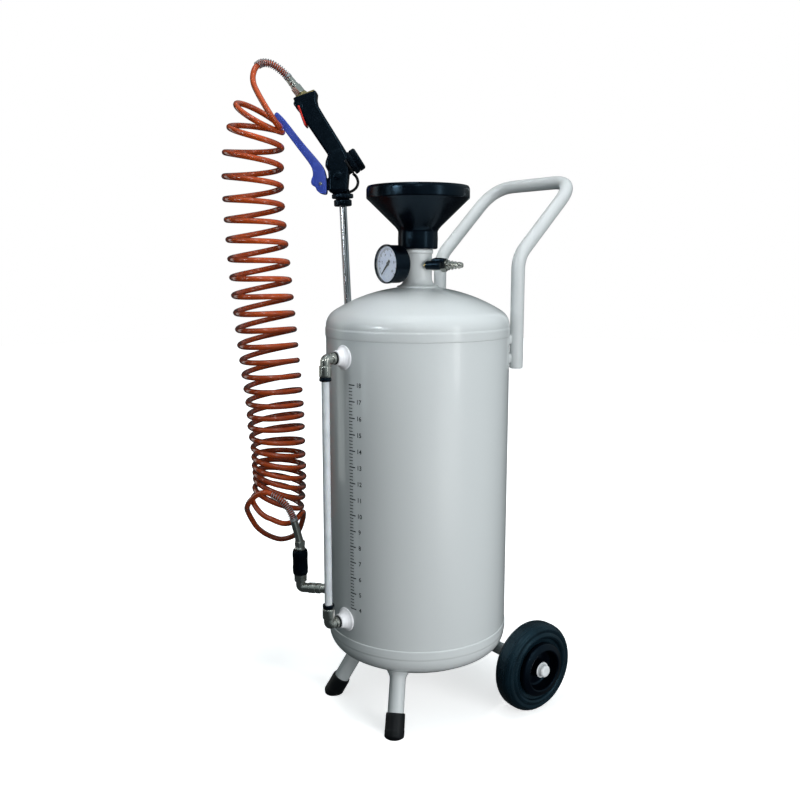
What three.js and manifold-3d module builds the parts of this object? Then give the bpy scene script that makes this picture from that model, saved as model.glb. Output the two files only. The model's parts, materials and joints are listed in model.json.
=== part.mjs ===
// Wheeled 24 litre pressure sprayer: painted steel tank on two wheels and two legs, filling funnel,
// pressure gauge, level tube, coiled spray hose and a spray gun with its lance in a holder.
// Millimetres, +Z up, ground at z = 0. Front (gauge, level tube, feet) is -Y, the handle is at +Y.
// Everything is designed about the tank's axis; the last group moves the tank so that the origin is
// the middle of the whole sprayer's footprint.
import * as THREE from "three";
import { mergeVertices } from "three/addons/utils/BufferGeometryUtils.js";
import Module from "manifold-3d";

// ---- driving dimensions ----
const TANK_OFFSET = [24.51, -32.65]; // tank axis from the origin
const GAP = 0.3; // between pieces that touch
const TANK_R = 125; // outside radius of the vessel
const WALL = 2.5;
const SEAM_LOW = 109; // lower head meets its skirt
const SEAM_TOP = 536.6; // upper head meets its skirt
const SKIRT = 13; // height of each head's skirt
const SKIRT_PROUD = 0.8; // the skirts stand out from the shell
const CROWN_R = 215; // dished heads: crown and knuckle radii
const KNUCKLE_R = 25;
const PORT_R = 4; // ports through the shell

const NECK_R = 19; // filler neck
const NECK_BORE = 16;
const NECK_TOP = 655;
const PORT_Z = 618; // gauge, air inlet and safety valve on the neck
const PORT_HOLE = 5.3;
const PORT_THREAD = 4.9;

const FUNNEL_RIM_R = 69.1;
const FUNNEL_BAND_Z = 705.2;
const FUNNEL_TOP = 721.6;
const FUNNEL_SOCKET_R = 26.5;
const FUNNEL_SOCKET_Z = 639.3;
const FUNNEL_CONE_Z = 665.5;

const GAUGE_R = 25.6;
const GAUGE_FRONT = 54.8; // bezel front from the tank axis
const INLET_TURN = 30; // air inlet, degrees from +X
const SAFETY_TURN = 150; // safety valve, behind the neck

const HANDLE_X = 82; // handle verticals from the middle
const HANDLE_Y = 108;
const HANDLE_LOW = 478;
const HANDLE_BEND = 629;
const HANDLE_TOP = [217, 735]; // y, z of the grip bar
const HANDLE_TUBE_R = 9.2;

const LEVEL_TURN = -88; // level tube's direction
const LEVEL_OUT = 153; // level tube axis from the tank axis
const LEVEL_HIGH = 501.4;
const LEVEL_LOW = 147.5;
const OUTLET_TURN = -135;
const OUTLET_OUT = 171;
const OUTLET_Z = 152;

const WHEEL_X = 131; // wheel centres
const WHEEL_Y = 104.5;
const WHEEL_R = 62.5;
const AXLE_R = 9;
const HUB_HALF = 23;
const FOOT = [75, -97]; // where each leg meets the ground
const LEG_HEAD = [42, -64, 85]; // top end of each leg, against the lower head
const LEG_R = 11;

const GUN_AT = [-140, -25]; // foot of the gun's plane
const GUN_TURN = 51.55; // the gun's plane, degrees from the X axis
const LANCE_LEAN = 2.3; // degrees, towards the coil
const LANCE_R = 5.3;
const LANCE_LOW = 300;
const LEVER_PIVOT = [-33, 733]; // in the gun's plane: along, up
const LATCH_PIVOT = [-62, 838.5];
const CAP_TURN = 32.9; // axis of the tethered cap above the horizontal
const HOSE_R = 4;
const COIL_R_TOP = 43.7; // outside radius of the coiled hose
const COIL_R_LOW = 39.8;

// Corners of each round section.
const TANK_SIDES = 32;
const WIDE = 20;
const ROUND = 14;
const SMALL = 10;
const TINY = 8;

// ---- solids ----
const wasm = await Module();
wasm.setup();

function solid(geometry) {
  const bare = geometry.clone();
  bare.deleteAttribute("normal");
  bare.deleteAttribute("uv");
  const merged = mergeVertices(bare, 1e-4);
  return new wasm.Manifold(
    new wasm.Mesh({
      numProp: 3,
      vertProperties: merged.attributes.position.array,
      triVerts: new Uint32Array(merged.index.array),
    }),
  );
}

function geometryOf(body) {
  const mesh = body.getMesh();
  const geometry = new THREE.BufferGeometry();
  geometry.setAttribute("position", new THREE.BufferAttribute(mesh.vertProperties, 3));
  geometry.setIndex(new THREE.BufferAttribute(mesh.triVerts, 1));
  return geometry;
}

// The first geometry, joined with those of `added` and cut by those of `removed`.
function carve(first, added, removed) {
  let body = solid(first);
  for (const g of added) body = body.add(solid(g));
  for (const g of removed) body = body.subtract(solid(g));
  return geometryOf(body);
}

// Turned shape about Z from [radius, height] points, listed upwards along the outside.
function turned(profile, sides = WIDE) {
  const points = profile.map(([r, z]) => new THREE.Vector2(r, z));
  return new THREE.LatheGeometry(points, sides).rotateX(Math.PI / 2);
}

// Turned ring: outside from the bottom up, then inside from the top down.
function ring(outside, inside, sides = WIDE) {
  return turned([...outside, ...inside, outside[0]], sides);
}

function tube(outer, inner, low, high, sides = WIDE) {
  return ring([[outer, low], [outer, high]], [[inner, high], [inner, low]], sides);
}

function rod(radius, low, high, sides = WIDE) {
  return turned([[0, low], [radius, low], [radius, high], [0, high]], sides);
}

function block(x0, x1, y0, y1, z0, z1) {
  const box = new THREE.BoxGeometry(x1 - x0, y1 - y0, z1 - z0);
  return box.translate((x0 + x1) / 2, (y0 + y1) / 2, (z0 + z1) / 2);
}

const alongX = (geometry) => geometry.rotateY(Math.PI / 2);

// Round bar of the given radius from point a to point b.
function bar(radius, a, b, sides = SMALL) {
  const from = new THREE.Vector3(...a);
  const way = new THREE.Vector3(...b).sub(from);
  const turn = new THREE.Quaternion().setFromUnitVectors(
    new THREE.Vector3(0, 0, 1),
    way.clone().normalize(),
  );
  return rod(radius, 0, way.length(), sides).applyQuaternion(turn).translate(...a);
}

// Round tube or bar swept along a smooth curve through the points.
function sweep(points, radius, steps, sides) {
  const curve = new THREE.CatmullRomCurve3(points.map((p) => new THREE.Vector3(...p)));
  return sweepCurve(curve, radius, steps, sides);
}

function sweepCurve(curve, radius, steps, sides) {
  const section = new THREE.Shape();
  for (let i = 0; i < sides; i++) {
    const turn = (i / sides) * 2 * Math.PI;
    const corner = [radius * Math.cos(turn), radius * Math.sin(turn)];
    if (i === 0) section.moveTo(...corner);
    else section.lineTo(...corner);
  }
  section.closePath();
  return new THREE.ExtrudeGeometry(section, { steps, extrudePath: curve, curveSegments: 1 });
}

// Outline in the gun's plane, given as [along, up] points, thickened both ways across it.
function plate(outline, half, bevel = 0) {
  const shape = new THREE.Shape(outline.map(([x, y]) => new THREE.Vector2(x, y)));
  const depth = 2 * (half - bevel);
  const geometry = new THREE.ExtrudeGeometry(shape, {
    depth,
    bevelEnabled: bevel > 0,
    bevelThickness: bevel,
    bevelSize: bevel,
    bevelOffset: -bevel,
    bevelSegments: 1,
    steps: 1,
  });
  return geometry.translate(0, 0, -depth / 2).rotateX(Math.PI / 2);
}

// ---- scene graph ----
const FINISH = {
  paint: [0xbfc2c0, 0.3, 0.0],
  black: [0x0c0d10, 0.4, 0.0],
  rubber: [0x101114, 0.7, 0.0],
  nickel: [0xb9b8ad, 0.25, 1.0],
  brass: [0xc9b27a, 0.3, 1.0],
  steel: [0xa9abad, 0.3, 1.0],
  white: [0xe9e9ec, 0.4, 0.0],
  level: [0xdedfe2, 0.5, 0.0],
  dial: [0xd5dcf0, 0.5, 0.0],
  needle: [0x111111, 0.5, 0.0],
  glass: [0xeef2f4, 0.05, 0.0],
  blue: [0x3f4fb8, 0.4, 0.0],
  red: [0xc4302a, 0.4, 0.0],
  hose: [0xb4501f, 0.3, 0.0],
};

const sprayer = new THREE.Group();

function add(group, name, finish, geometry) {
  const [color, roughness, metalness] = FINISH[finish];
  const material = new THREE.MeshStandardMaterial({ color, roughness, metalness });
  const mesh = new THREE.Mesh(geometry, material);
  mesh.name = name;
  group.add(mesh);
  return mesh;
}

// A group whose +X points out from the tank axis at the given angle.
function facing(degrees, z = 0) {
  const group = new THREE.Group();
  group.rotation.z = THREE.MathUtils.degToRad(degrees);
  group.position.z = z;
  sprayer.add(group);
  return group;
}

// ---- tank ----
const KNUCKLE_DROP = Math.sqrt((CROWN_R - KNUCKLE_R) ** 2 - (TANK_R - KNUCKLE_R) ** 2);
const HEAD_RISE = CROWN_R - KNUCKLE_DROP; // height of a head above its seam

// [radius, height] points of a dished head from the seam to radius `inner`, shrunk by `inset`.
function headProfile(inset, inner) {
  const points = [];
  const join = Math.asin((TANK_R - KNUCKLE_R) / (CROWN_R - KNUCKLE_R));
  for (let i = 0; i <= 2; i++) {
    const turn = (i / 2) * (Math.PI / 2 - join);
    const r = TANK_R - KNUCKLE_R + (KNUCKLE_R - inset) * Math.cos(turn);
    points.push([r, (KNUCKLE_R - inset) * Math.sin(turn)]);
  }
  const end = Math.asin(inner / (CROWN_R - inset));
  for (let i = 1; i <= 3; i++) {
    const turn = join + (i / 3) * (end - join);
    const r = (CROWN_R - inset) * Math.sin(turn);
    points.push([r, (CROWN_R - inset) * Math.cos(turn) - KNUCKLE_DROP]);
  }
  return points;
}

// Dished head with its skirt, opening downwards; `hole` is the radius of its middle opening.
function head(hole) {
  const skirtR = TANK_R + SKIRT_PROUD;
  const outside = [[skirtR, -SKIRT], [skirtR, -0.8], ...headProfile(0, hole)];
  const inside = headProfile(WALL, hole).reverse();
  return [outside, [...inside, [TANK_R - WALL, -SKIRT]]];
}

const tank = facing(0);
const holeAcross = (turn, z) =>
  alongX(rod(PORT_R, TANK_R - 10, TANK_R + 10, TINY))
    .translate(0, 0, z)
    .rotateZ(THREE.MathUtils.degToRad(turn));
const shellTop = SEAM_TOP - SKIRT - GAP;
const shellLow = SEAM_LOW + SKIRT + GAP;
add(tank, "tank_shell", "paint", carve(
  tube(TANK_R, TANK_R - WALL, shellLow, shellTop, TANK_SIDES),
  [],
  [
    holeAcross(LEVEL_TURN, LEVEL_HIGH),
    holeAcross(LEVEL_TURN, LEVEL_LOW),
    holeAcross(OUTLET_TURN, OUTLET_Z),
  ],
));
const NECK_HOLE = NECK_R + 0.4;
add(tank, "tank_upper_head", "paint", ring(...head(NECK_HOLE), TANK_SIDES)).position.z = SEAM_TOP;
const [lowOutside, lowInside] = head(0);
const lowerHead = turned([...lowInside, ...lowOutside], TANK_SIDES).rotateX(Math.PI);
add(tank, "tank_lower_head", "paint", lowerHead).position.z = SEAM_LOW;

// ---- filler neck, funnel and plug ----
const neckFoot = SEAM_TOP + HEAD_RISE;
const FLARE_R = 27.5;
const flare = [[NECK_R + 0.6, neckFoot], [FLARE_R, neckFoot - 0.9], [FLARE_R, neckFoot + 0.8]];
for (let i = 1; i <= 3; i++) {
  const turn = (i / 3) * (Math.PI / 2);
  flare.push([FLARE_R - (FLARE_R - NECK_R) * Math.sin(turn), neckFoot + 0.8 + 11 * (1 - Math.cos(turn))]);
}
const portAcross = (turn) =>
  alongX(rod(PORT_HOLE, 8, NECK_R + 4, SMALL))
    .translate(0, 0, PORT_Z)
    .rotateZ(THREE.MathUtils.degToRad(turn));
add(tank, "filler_neck", "paint", carve(
  ring(
    [[NECK_R, neckFoot - 8], [NECK_R, neckFoot - 0.2], ...flare, [NECK_R, NECK_TOP]],
    [[NECK_BORE, NECK_TOP], [NECK_BORE, neckFoot - 8]],
    WIDE,
  ),
  [tube(NECK_R + 1.5, NECK_R - 1, 633.5, 638.8, WIDE)],
  [portAcross(-90), portAcross(INLET_TURN), portAcross(SAFETY_TURN)],
));
const RIM_WALL = 3.6;
add(tank, "funnel", "black", ring(
  [
    [FUNNEL_SOCKET_R, FUNNEL_SOCKET_Z], [FUNNEL_SOCKET_R, FUNNEL_CONE_Z],
    [FUNNEL_RIM_R - 1, FUNNEL_BAND_Z - 1], [FUNNEL_RIM_R, FUNNEL_BAND_Z],
    [FUNNEL_RIM_R, FUNNEL_TOP - 4], [FUNNEL_RIM_R - 2, FUNNEL_TOP],
  ],
  [
    [FUNNEL_RIM_R - RIM_WALL, FUNNEL_TOP], [FUNNEL_RIM_R - RIM_WALL, FUNNEL_BAND_Z + 2.5],
    [24.5, FUNNEL_CONE_Z + 2], [21.6, FUNNEL_CONE_Z - 1],
    [21.6, NECK_TOP + 0.6], [NECK_R + 0.4, NECK_TOP + 0.6], [NECK_R + 0.4, FUNNEL_SOCKET_Z],
  ],
  WIDE,
));
const flangeLow = NECK_TOP + 2.3;
add(tank, "plug_seal", "rubber", tube(18.8, 16.1, NECK_TOP + GAP, flangeLow - GAP, ROUND));
add(tank, "filler_plug", "black", carve(
  turned([[0, 641], [15.4, 641], [15.4, flangeLow], [20.4, flangeLow],
    [20.4, flangeLow + 4.5], [9, flangeLow + 6.5], [9, 684], [0, 684]], ROUND),
  [block(-16.5, 16.5, -3.6, 3.6, flangeLow + 3, 686)],
  [],
));

// ---- pressure gauge, facing the front ----
const gauge = facing(-90, PORT_Z + 1.5);
const gaugeMouth = GAUGE_FRONT - 4.3;
add(gauge, "gauge_stem", "nickel", carve(
  alongX(rod(PORT_THREAD, 14.5, 28.6, SMALL)).translate(0, 0, -1.5),
  [alongX(rod(8.5, NECK_R + 1.8, 28.6, 6)).translate(0, 0, -1.5)],
  [],
));
add(gauge, "gauge_case", "black", alongX(turned(
  [[0, 29], [GAUGE_R - 2.5, 29], [GAUGE_R - 0.8, 31], [GAUGE_R - 0.8, gaugeMouth - GAP],
    [GAUGE_R - 2.3, gaugeMouth - GAP], [GAUGE_R - 2.3, 31.5], [0, 31.5]],
  WIDE,
)));
add(gauge, "gauge_bezel", "black", alongX(ring(
  [[GAUGE_R, gaugeMouth], [GAUGE_R, GAUGE_FRONT - 1], [GAUGE_R - 1.2, GAUGE_FRONT]],
  [[GAUGE_R - 3.4, GAUGE_FRONT], [GAUGE_R - 3.4, GAUGE_FRONT - 1.3],
    [GAUGE_R - 2.3, GAUGE_FRONT - 1.3], [GAUGE_R - 2.3, gaugeMouth]],
  WIDE,
)));
add(gauge, "gauge_lens", "glass", alongX(rod(GAUGE_R - 2.6, 51.5, 53.2, WIDE)));
add(gauge, "gauge_dial", "dial", alongX(tube(GAUGE_R - 2.6, 1.4, 47.2, 48, WIDE)));
const NEEDLE_REST = 45; // degrees below the horizontal, to the lower left
const needleShape = plate([[-6, -1.6], [4, -1.3], [17.5, 0], [4, 1.3], [-6, 1.6]], 0.35);
add(gauge, "gauge_needle", "needle", carve(
  needleShape.rotateX(-Math.PI / 2).rotateZ(THREE.MathUtils.degToRad(180 + NEEDLE_REST))
    .rotateX(Math.PI / 2).rotateZ(Math.PI / 2).translate(49.4, 0, 0),
  [alongX(rod(2.2, 48.6, 50.6, SMALL)), alongX(rod(1, 44, 49, TINY))],
  [],
));

// ---- air inlet: small ball valve and quick plug ----
const inlet = facing(INLET_TURN, PORT_Z);
const STEM_X = 27;
add(inlet, "inlet_valve_body", "nickel", carve(
  alongX(turned([[0, 14.5], [PORT_THREAD, 14.5], [PORT_THREAD, NECK_R + 1.2], [7, NECK_R + 1.2],
    [7, 34], [0, 34]], ROUND)),
  [
    alongX(rod(9, 34, 42, 6)),
    bar(4.5, [STEM_X, 0, 0], [STEM_X, -9.4, 0]),
  ],
  [
    alongX(rod(2.6, 13, 43, TINY)),
    new THREE.SphereGeometry(5.7, TINY, 8).translate(STEM_X, 0, 0),
    bar(2.4, [STEM_X, 0, 0], [STEM_X, -11, 0], TINY),
  ],
));
add(inlet, "inlet_valve_ball", "nickel", carve(
  new THREE.SphereGeometry(5.1, TINY, 8).translate(STEM_X, 0, 0),
  [bar(1.9, [STEM_X, 0, 0], [STEM_X, -10.6, 0], TINY)],
  [alongX(rod(2.2, 15, 40, TINY))],
));
add(inlet, "inlet_valve_lever", "black", carve(
  bar(6, [17.2, -15, 0], [38, -15, 0]),
  [bar(3.2, [28, -14.5, 6.8], [44, -14.5, 6.2], TINY), bar(6, [28, -11.2, 0], [28, -15, 0])],
  [bar(5, [STEM_X, 0, 0], [STEM_X, -9.7, 0]), bar(2.3, [STEM_X, 0, 0], [STEM_X, -10.9, 0], TINY)],
));
add(inlet, "inlet_plug", "nickel", alongX(ring(
  [[6.8, 42.3], [6.8, 45], [4.4, 46.5], [6.2, 49], [4, 51], [5.4, 53.5], [3.6, 55.6],
    [4.8, 58.5], [3.2, 64]],
  [[1.8, 64], [1.8, 42.3]],
  SMALL,
)));

// ---- safety valve ----
const safety = facing(SAFETY_TURN, PORT_Z);
add(safety, "safety_valve_body", "brass", carve(
  alongX(turned([[0, 14.5], [PORT_THREAD, 14.5], [PORT_THREAD, NECK_R + 1.2], [7, NECK_R + 1.2],
    [7, 34], [5.5, 35], [5.5, 42], [0, 42]], ROUND)),
  [alongX(rod(9, NECK_R + 2.5, 30, 6))],
  [alongX(rod(1.8, 34, 43, TINY))],
));
add(safety, "safety_valve_ring", "steel", carve(
  alongX(rod(1.3, 35, 45, TINY)),
  [new THREE.TorusGeometry(8, 1.1, 6, 18).rotateX(Math.PI / 2).translate(52.6, 0, 0)],
  [],
));

// ---- handle ----
// Bent tube: straight lines with an arc of the given radius at each corner.
function bentPath(points, radius) {
  const path = new THREE.CurvePath();
  let start = new THREE.Vector3(...points[0]);
  for (let i = 1; i < points.length - 1; i++) {
    const corner = new THREE.Vector3(...points[i]);
    const into = new THREE.Vector3(...points[i - 1]).sub(corner).normalize();
    const out = new THREE.Vector3(...points[i + 1]).sub(corner).normalize();
    const reach = radius / Math.tan(into.angleTo(out) / 2);
    const a = corner.clone().addScaledVector(into, reach);
    const b = corner.clone().addScaledVector(out, reach);
    path.add(new THREE.LineCurve3(start, a));
    path.add(new THREE.QuadraticBezierCurve3(a, corner, b));
    start = b;
  }
  path.add(new THREE.LineCurve3(start, new THREE.Vector3(...points.at(-1))));
  return path;
}

const [barY, barZ] = HANDLE_TOP;
const handlePath = bentPath([
  [HANDLE_X, HANDLE_Y, HANDLE_LOW], [HANDLE_X, HANDLE_Y, HANDLE_BEND],
  [HANDLE_X, barY, barZ], [-HANDLE_X, barY, barZ],
  [-HANDLE_X, HANDLE_Y, HANDLE_BEND], [-HANDLE_X, HANDLE_Y, HANDLE_LOW],
], 42);
const handleOut = Math.hypot(HANDLE_X, HANDLE_Y);
const standoffs = [];
for (const side of [-1, 1]) {
  for (const z of [HANDLE_LOW + 14, HANDLE_LOW + 40]) {
    const from = (TANK_R + SKIRT_PROUD + GAP) / handleOut;
    const foot = [side * HANDLE_X * from, HANDLE_Y * from, z];
    standoffs.push(bar(5.5, foot, [side * HANDLE_X, HANDLE_Y, z], TINY));
  }
}
const nearTank = turned([[0, 400], [TANK_R + GAP, 400], [TANK_R + GAP, shellTop - 2],
  [TANK_R + SKIRT_PROUD + GAP, shellTop - 1.5], [TANK_R + SKIRT_PROUD + GAP, SEAM_TOP],
  [0, SEAM_TOP]], TANK_SIDES);
add(tank, "handle_tube", "paint",
  carve(sweepCurve(handlePath, HANDLE_TUBE_R, 36, 10), standoffs, [nearTank]));

// ---- legs, axle and wheels ----
// Everything that the lower head fills, with the usual gap round it.
const underTank = turned([[0, -60], [TANK_R + 2, -60], ...headProfile(-GAP, 0)], TANK_SIDES)
  .rotateX(Math.PI)
  .translate(0, 0, SEAM_LOW);
const ground = block(-300, 300, -300, 300, -60, 0);

// Point along a leg, counted from the ground up the leg.
function legPoint(side, height) {
  const part = height / LEG_HEAD[2];
  const x = FOOT[0] + (LEG_HEAD[0] - FOOT[0]) * part;
  const y = FOOT[1] + (LEG_HEAD[1] - FOOT[1]) * part;
  return [side * x, y, height];
}

const CAP_TOP = 26; // rubber foot caps
for (const [side, name] of [[-1, "left"], [1, "right"]]) {
  add(tank, `leg_${name}`, "paint", carve(
    bar(LEG_R, legPoint(side, 6), legPoint(side, 92), ROUND), [], [underTank]));
  const cap = bar(LEG_R + 2.2, legPoint(side, 4), legPoint(side, CAP_TOP), ROUND);
  const toe = new THREE.SphereGeometry(LEG_R + 2.2, ROUND, 6).scale(1, 1, 0.8);
  add(tank, `foot_cap_${name}`, "rubber", carve(
    cap,
    [toe.translate(...legPoint(side, 6))],
    [ground, bar(LEG_R + GAP, legPoint(side, 5.5), legPoint(side, 60), ROUND)],
  ));
}

const axleEnd = WHEEL_X - HUB_HALF - 1.5;
const saddles = [-1, 1].map((side) =>
  block(side * 38 - 3, side * 38 + 3, WHEEL_Y - 24, WHEEL_Y + 4, WHEEL_R, WHEEL_R + 40));
add(tank, "axle_tube", "paint", carve(
  alongX(rod(AXLE_R, -axleEnd, axleEnd, ROUND)).translate(0, WHEEL_Y, WHEEL_R),
  saddles,
  [underTank, alongX(rod(4.4, -200, 200, SMALL)).translate(0, WHEEL_Y, WHEEL_R)],
));

// Wheels turn about their own X axis; everything is drawn for the right wheel and mirrored.
const PLATE_R = 27; // recess in each side of the hub
for (const [side, name] of [[-1, "left"], [1, "right"]]) {
  const wheel = new THREE.Group();
  wheel.position.set(side * WHEEL_X, WHEEL_Y, WHEEL_R);
  wheel.rotation.z = side > 0 ? 0 : Math.PI;
  sprayer.add(wheel);
  add(wheel, `wheel_hub_${name}`, "black", alongX(ring(
    [[9, -HUB_HALF], [9, -6], [PLATE_R, -6], [PLATE_R, -18], [33, -18], [36, -8], [36, 8],
      [33, 22], [30, HUB_HALF], [PLATE_R, HUB_HALF - 2], [PLATE_R, 6], [10, 6], [10, HUB_HALF - 6]],
    [[6.1, HUB_HALF - 6], [6.1, -HUB_HALF]],
    WIDE,
  )));
  add(wheel, `tyre_${name}`, "rubber", alongX(ring(
    [[36.4, -13], [44, -16], [53, -15], [59, -12], [WHEEL_R, -6], [WHEEL_R, 6], [59, 12],
      [53, 15], [44, 16], [36.4, 13]],
    [],
    WIDE,
  )));
  add(wheel, `wheel_bolt_${name}`, "steel", alongX(turned(
    [[0, -56], [4, -56], [4, -HUB_HALF - 1], [6, -HUB_HALF - 1], [6, HUB_HALF - 5.5],
      [13, HUB_HALF - 5.5], [13, HUB_HALF - 4], [8.4, HUB_HALF - 4], [8.4, HUB_HALF + 1.5],
      [6.5, HUB_HALF + 3.5], [0, HUB_HALF + 3.5]],
    SMALL,
  )));
}

// ---- level tube ----
const aroundTank = rod(TANK_R + GAP, 0, 700, 64);
const level = facing(LEVEL_TURN);
const BOSS_END = 137.4;
const boss = (z) => carve(
  alongX(ring(
    [[16, 122], [16, 125.4], [13.2, 127], [11, 129.5], [9.8, 133], [9.5, BOSS_END]],
    [[5.3, BOSS_END], [5.3, 122]],
    ROUND,
  )).translate(0, 0, z),
  [],
  [aroundTank],
);
// Elbow from the boss to the tube; `down` is -1 where the tube hangs below it, else 1.
function elbow(z, down) {
  const mouth = z + down * 23;
  const low = Math.min(z, mouth);
  const neckEnd = z + down * 9;
  return carve(
    alongX(rod(6.2, BOSS_END + 1.8, LEVEL_OUT, SMALL)).translate(0, 0, z),
    [
      alongX(rod(4.9, 127, LEVEL_OUT, SMALL)).translate(0, 0, z),
      new THREE.SphereGeometry(6.7, SMALL, 6).translate(LEVEL_OUT, 0, z),
      rod(6.7, Math.min(z, neckEnd), Math.max(z, neckEnd), SMALL).translate(LEVEL_OUT, 0, 0),
      rod(8, Math.min(neckEnd, mouth), Math.max(neckEnd, mouth), ROUND).translate(LEVEL_OUT, 0, 0),
    ],
    [
      rod(5.3, 0, 13, SMALL).translate(LEVEL_OUT, 0, low === z ? mouth - 13 : mouth),
      rod(2.6, 0, 23, TINY).translate(LEVEL_OUT, 0, low),
      alongX(rod(2.6, 120, LEVEL_OUT, TINY)).translate(0, 0, z),
    ],
  );
}
const RELEASE = 3; // height of the black release rings
const tubeLow = LEVEL_LOW + 13;
const tubeHigh = LEVEL_HIGH - 13;
add(level, "level_boss_upper", "white", boss(LEVEL_HIGH));
add(level, "level_boss_lower", "white", boss(LEVEL_LOW));
add(level, "level_elbow_upper", "nickel", elbow(LEVEL_HIGH, -1));
add(level, "level_elbow_lower", "nickel", elbow(LEVEL_LOW, 1));
const release = tube(7.4, 5.3, 0, RELEASE, ROUND);
add(level, "level_collar_upper", "black", release)
  .position.set(LEVEL_OUT, 0, LEVEL_HIGH - 23 - GAP - RELEASE);
add(level, "level_collar_lower", "black", release)
  .position.set(LEVEL_OUT, 0, LEVEL_LOW + 23 + GAP);
add(level, "level_tube", "level", tube(5, 3.8, tubeLow, tubeHigh, SMALL))
  .position.set(LEVEL_OUT, 0, 0);

// ---- liquid outlet: boss, push-in elbow and quick coupler ----
const outlet = facing(OUTLET_TURN);
add(outlet, "outlet_boss", "white", carve(
  alongX(tube(10, 5.3, 122, 132.5, ROUND)).translate(0, 0, OUTLET_Z), [], [aroundTank]));
const bodyLow = OUTLET_Z + 10;
add(outlet, "outlet_elbow", "nickel", carve(
  alongX(turned([[0, 127], [4.9, 127], [4.9, 132.8], [6.5, 132.8], [6.5, 141], [7.6, 141],
    [7.6, 159], [6.5, 160], [6.5, OUTLET_OUT], [0, OUTLET_OUT]], ROUND)).translate(0, 0, OUTLET_Z),
  [
    new THREE.SphereGeometry(7.2, ROUND, 6).translate(OUTLET_OUT, 0, OUTLET_Z),
    rod(7.2, OUTLET_Z, bodyLow - GAP, ROUND).translate(OUTLET_OUT, 0, 0),
  ],
  [
    alongX(rod(3, 120, OUTLET_OUT, TINY)).translate(0, 0, OUTLET_Z),
    rod(3, OUTLET_Z, bodyLow + 5, TINY).translate(OUTLET_OUT, 0, 0),
  ],
));
add(outlet, "coupler_body", "nickel", ring(
  [[9, bodyLow], [9, 206]], [[5.9, 206], [5.9, 194], [3, 192], [3, bodyLow]], ROUND,
)).position.x = OUTLET_OUT;
add(outlet, "coupler_sleeve", "black", ring(
  [[10.4, 173], [11, 174.5], [11, 207.5], [10.2, 209.6]], [[9.35, 209.6], [9.35, 173]], ROUND,
)).position.x = OUTLET_OUT;

// ---- gun and lance in their holder, in a plane that stands beside the tank ----
// In this frame x runs along the plane, y across it and z up.
const gunTurn = THREE.MathUtils.degToRad(GUN_TURN);
const gun = new THREE.Group();
gun.position.set(...GUN_AT, 0);
gun.rotation.z = gunTurn;
sprayer.add(gun);

// World point on the ground, seen in the gun's frame.
function inGunFrame(x, y) {
  const up = new THREE.Vector3(0, 0, 1);
  return new THREE.Vector3(x - GUN_AT[0], y - GUN_AT[1], 0).applyAxisAngle(up, -gunTurn);
}

// The lance leans: places a shape drawn about Z, with z = 0 at the foot of the gun's nut.
const lean = THREE.MathUtils.degToRad(LANCE_LEAN);
const [LANCE_X, NUT_LOW] = [-1.9, 702.4];
const onLance = (geometry) => geometry.rotateY(-lean).translate(LANCE_X, 0, NUT_LOW);
const tankAt = inGunFrame(0, 0);
const tankThere = rod(TANK_R + GAP, 0, 700, 64).translate(tankAt.x, tankAt.y, 0);

// Web from the lance's sleeve to the tank wall.
function web(low, high) {
  const x = LANCE_X + (NUT_LOW - (low + high) / 2) * Math.tan(lean);
  const turn = Math.atan2(tankAt.y, tankAt.x - x);
  return block(8.5, 16, -6, 6, low, high).rotateZ(turn).translate(x, 0, 0);
}

const SLEEVE = [7.5, 10]; // inner and outer radius of both holders
const GUIDE = [455, 485];
const CUP = [288, 325];
const CUP_FLOOR = 3;
const local = (z) => z - NUT_LOW;
add(gun, "lance_guide", "paint", carve(
  onLance(tube(SLEEVE[1], SLEEVE[0], local(GUIDE[0]), local(GUIDE[1]), ROUND)),
  [web(...GUIDE)],
  [tankThere, onLance(rod(SLEEVE[0], local(GUIDE[0]) - 5, local(GUIDE[1]) + 5, ROUND))],
));
add(gun, "lance_cup", "paint", carve(
  onLance(rod(SLEEVE[1], local(CUP[0]), local(CUP[1]), ROUND)),
  [web(...CUP)],
  [tankThere, onLance(rod(SLEEVE[0], local(CUP[0]) + CUP_FLOOR, local(CUP[1]) + 5, ROUND))],
));
const NOZZLE = 16;
const tip = local(LANCE_LOW);
add(gun, "lance_tube", "steel", onLance(ring(
  [[4, tip], [6.3, tip + 4], [6.3, tip + NOZZLE], [LANCE_R, tip + NOZZLE + 1], [LANCE_R, 11.6]],
  [[3.6, 11.6], [3.6, tip + NOZZLE], [1, tip + NOZZLE - 4], [1, tip]],
  SMALL,
)));
add(gun, "lance_nut", "black", onLance(ring(
  [[11.7, -0.4], [12.7, 0.6], [12.7, 9.9], [15.6, 10.1], [15.6, 16.6]],
  [[5.8, 16.6], [5.8, -0.4]],
  ROUND,
)));

const along = (start, way, reach) => start.map((v, i) => v + way[i] * reach);
const flat = ([x, z], y = 0) => [x, y, z];
const CAP_BORE = 12.4; // inside radius of the quarter-turn cap
const CAP_SEAT = 17; // clearance for the cap in the gun's body
const INLET_SEAT = 9; // recess for the hose's brass nut
const INLET_R = 8.5;
const FERRULE_R = 5.3; // where the hose leaves each ferrule
const FERRULE_BORE = 2.6;
const PIVOT_CLEARANCE = 0.15;
const LEVER_PIN_R = 2.4;
const capTurn = THREE.MathUtils.degToRad(CAP_TURN);
const CAP_WAY = [Math.cos(capTurn), Math.sin(capTurn)];
const CAP_FOOT = [3, 757];
const capBar = (radius, low, high, sides) =>
  bar(radius, flat(along(CAP_FOOT, CAP_WAY, low)), flat(along(CAP_FOOT, CAP_WAY, high)), sides);
const INLET_WAY = [-0.62, 0.785]; // the hose leaves the grip's end this way
const INLET_FOOT = [-57.5, 854.5];
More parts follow.
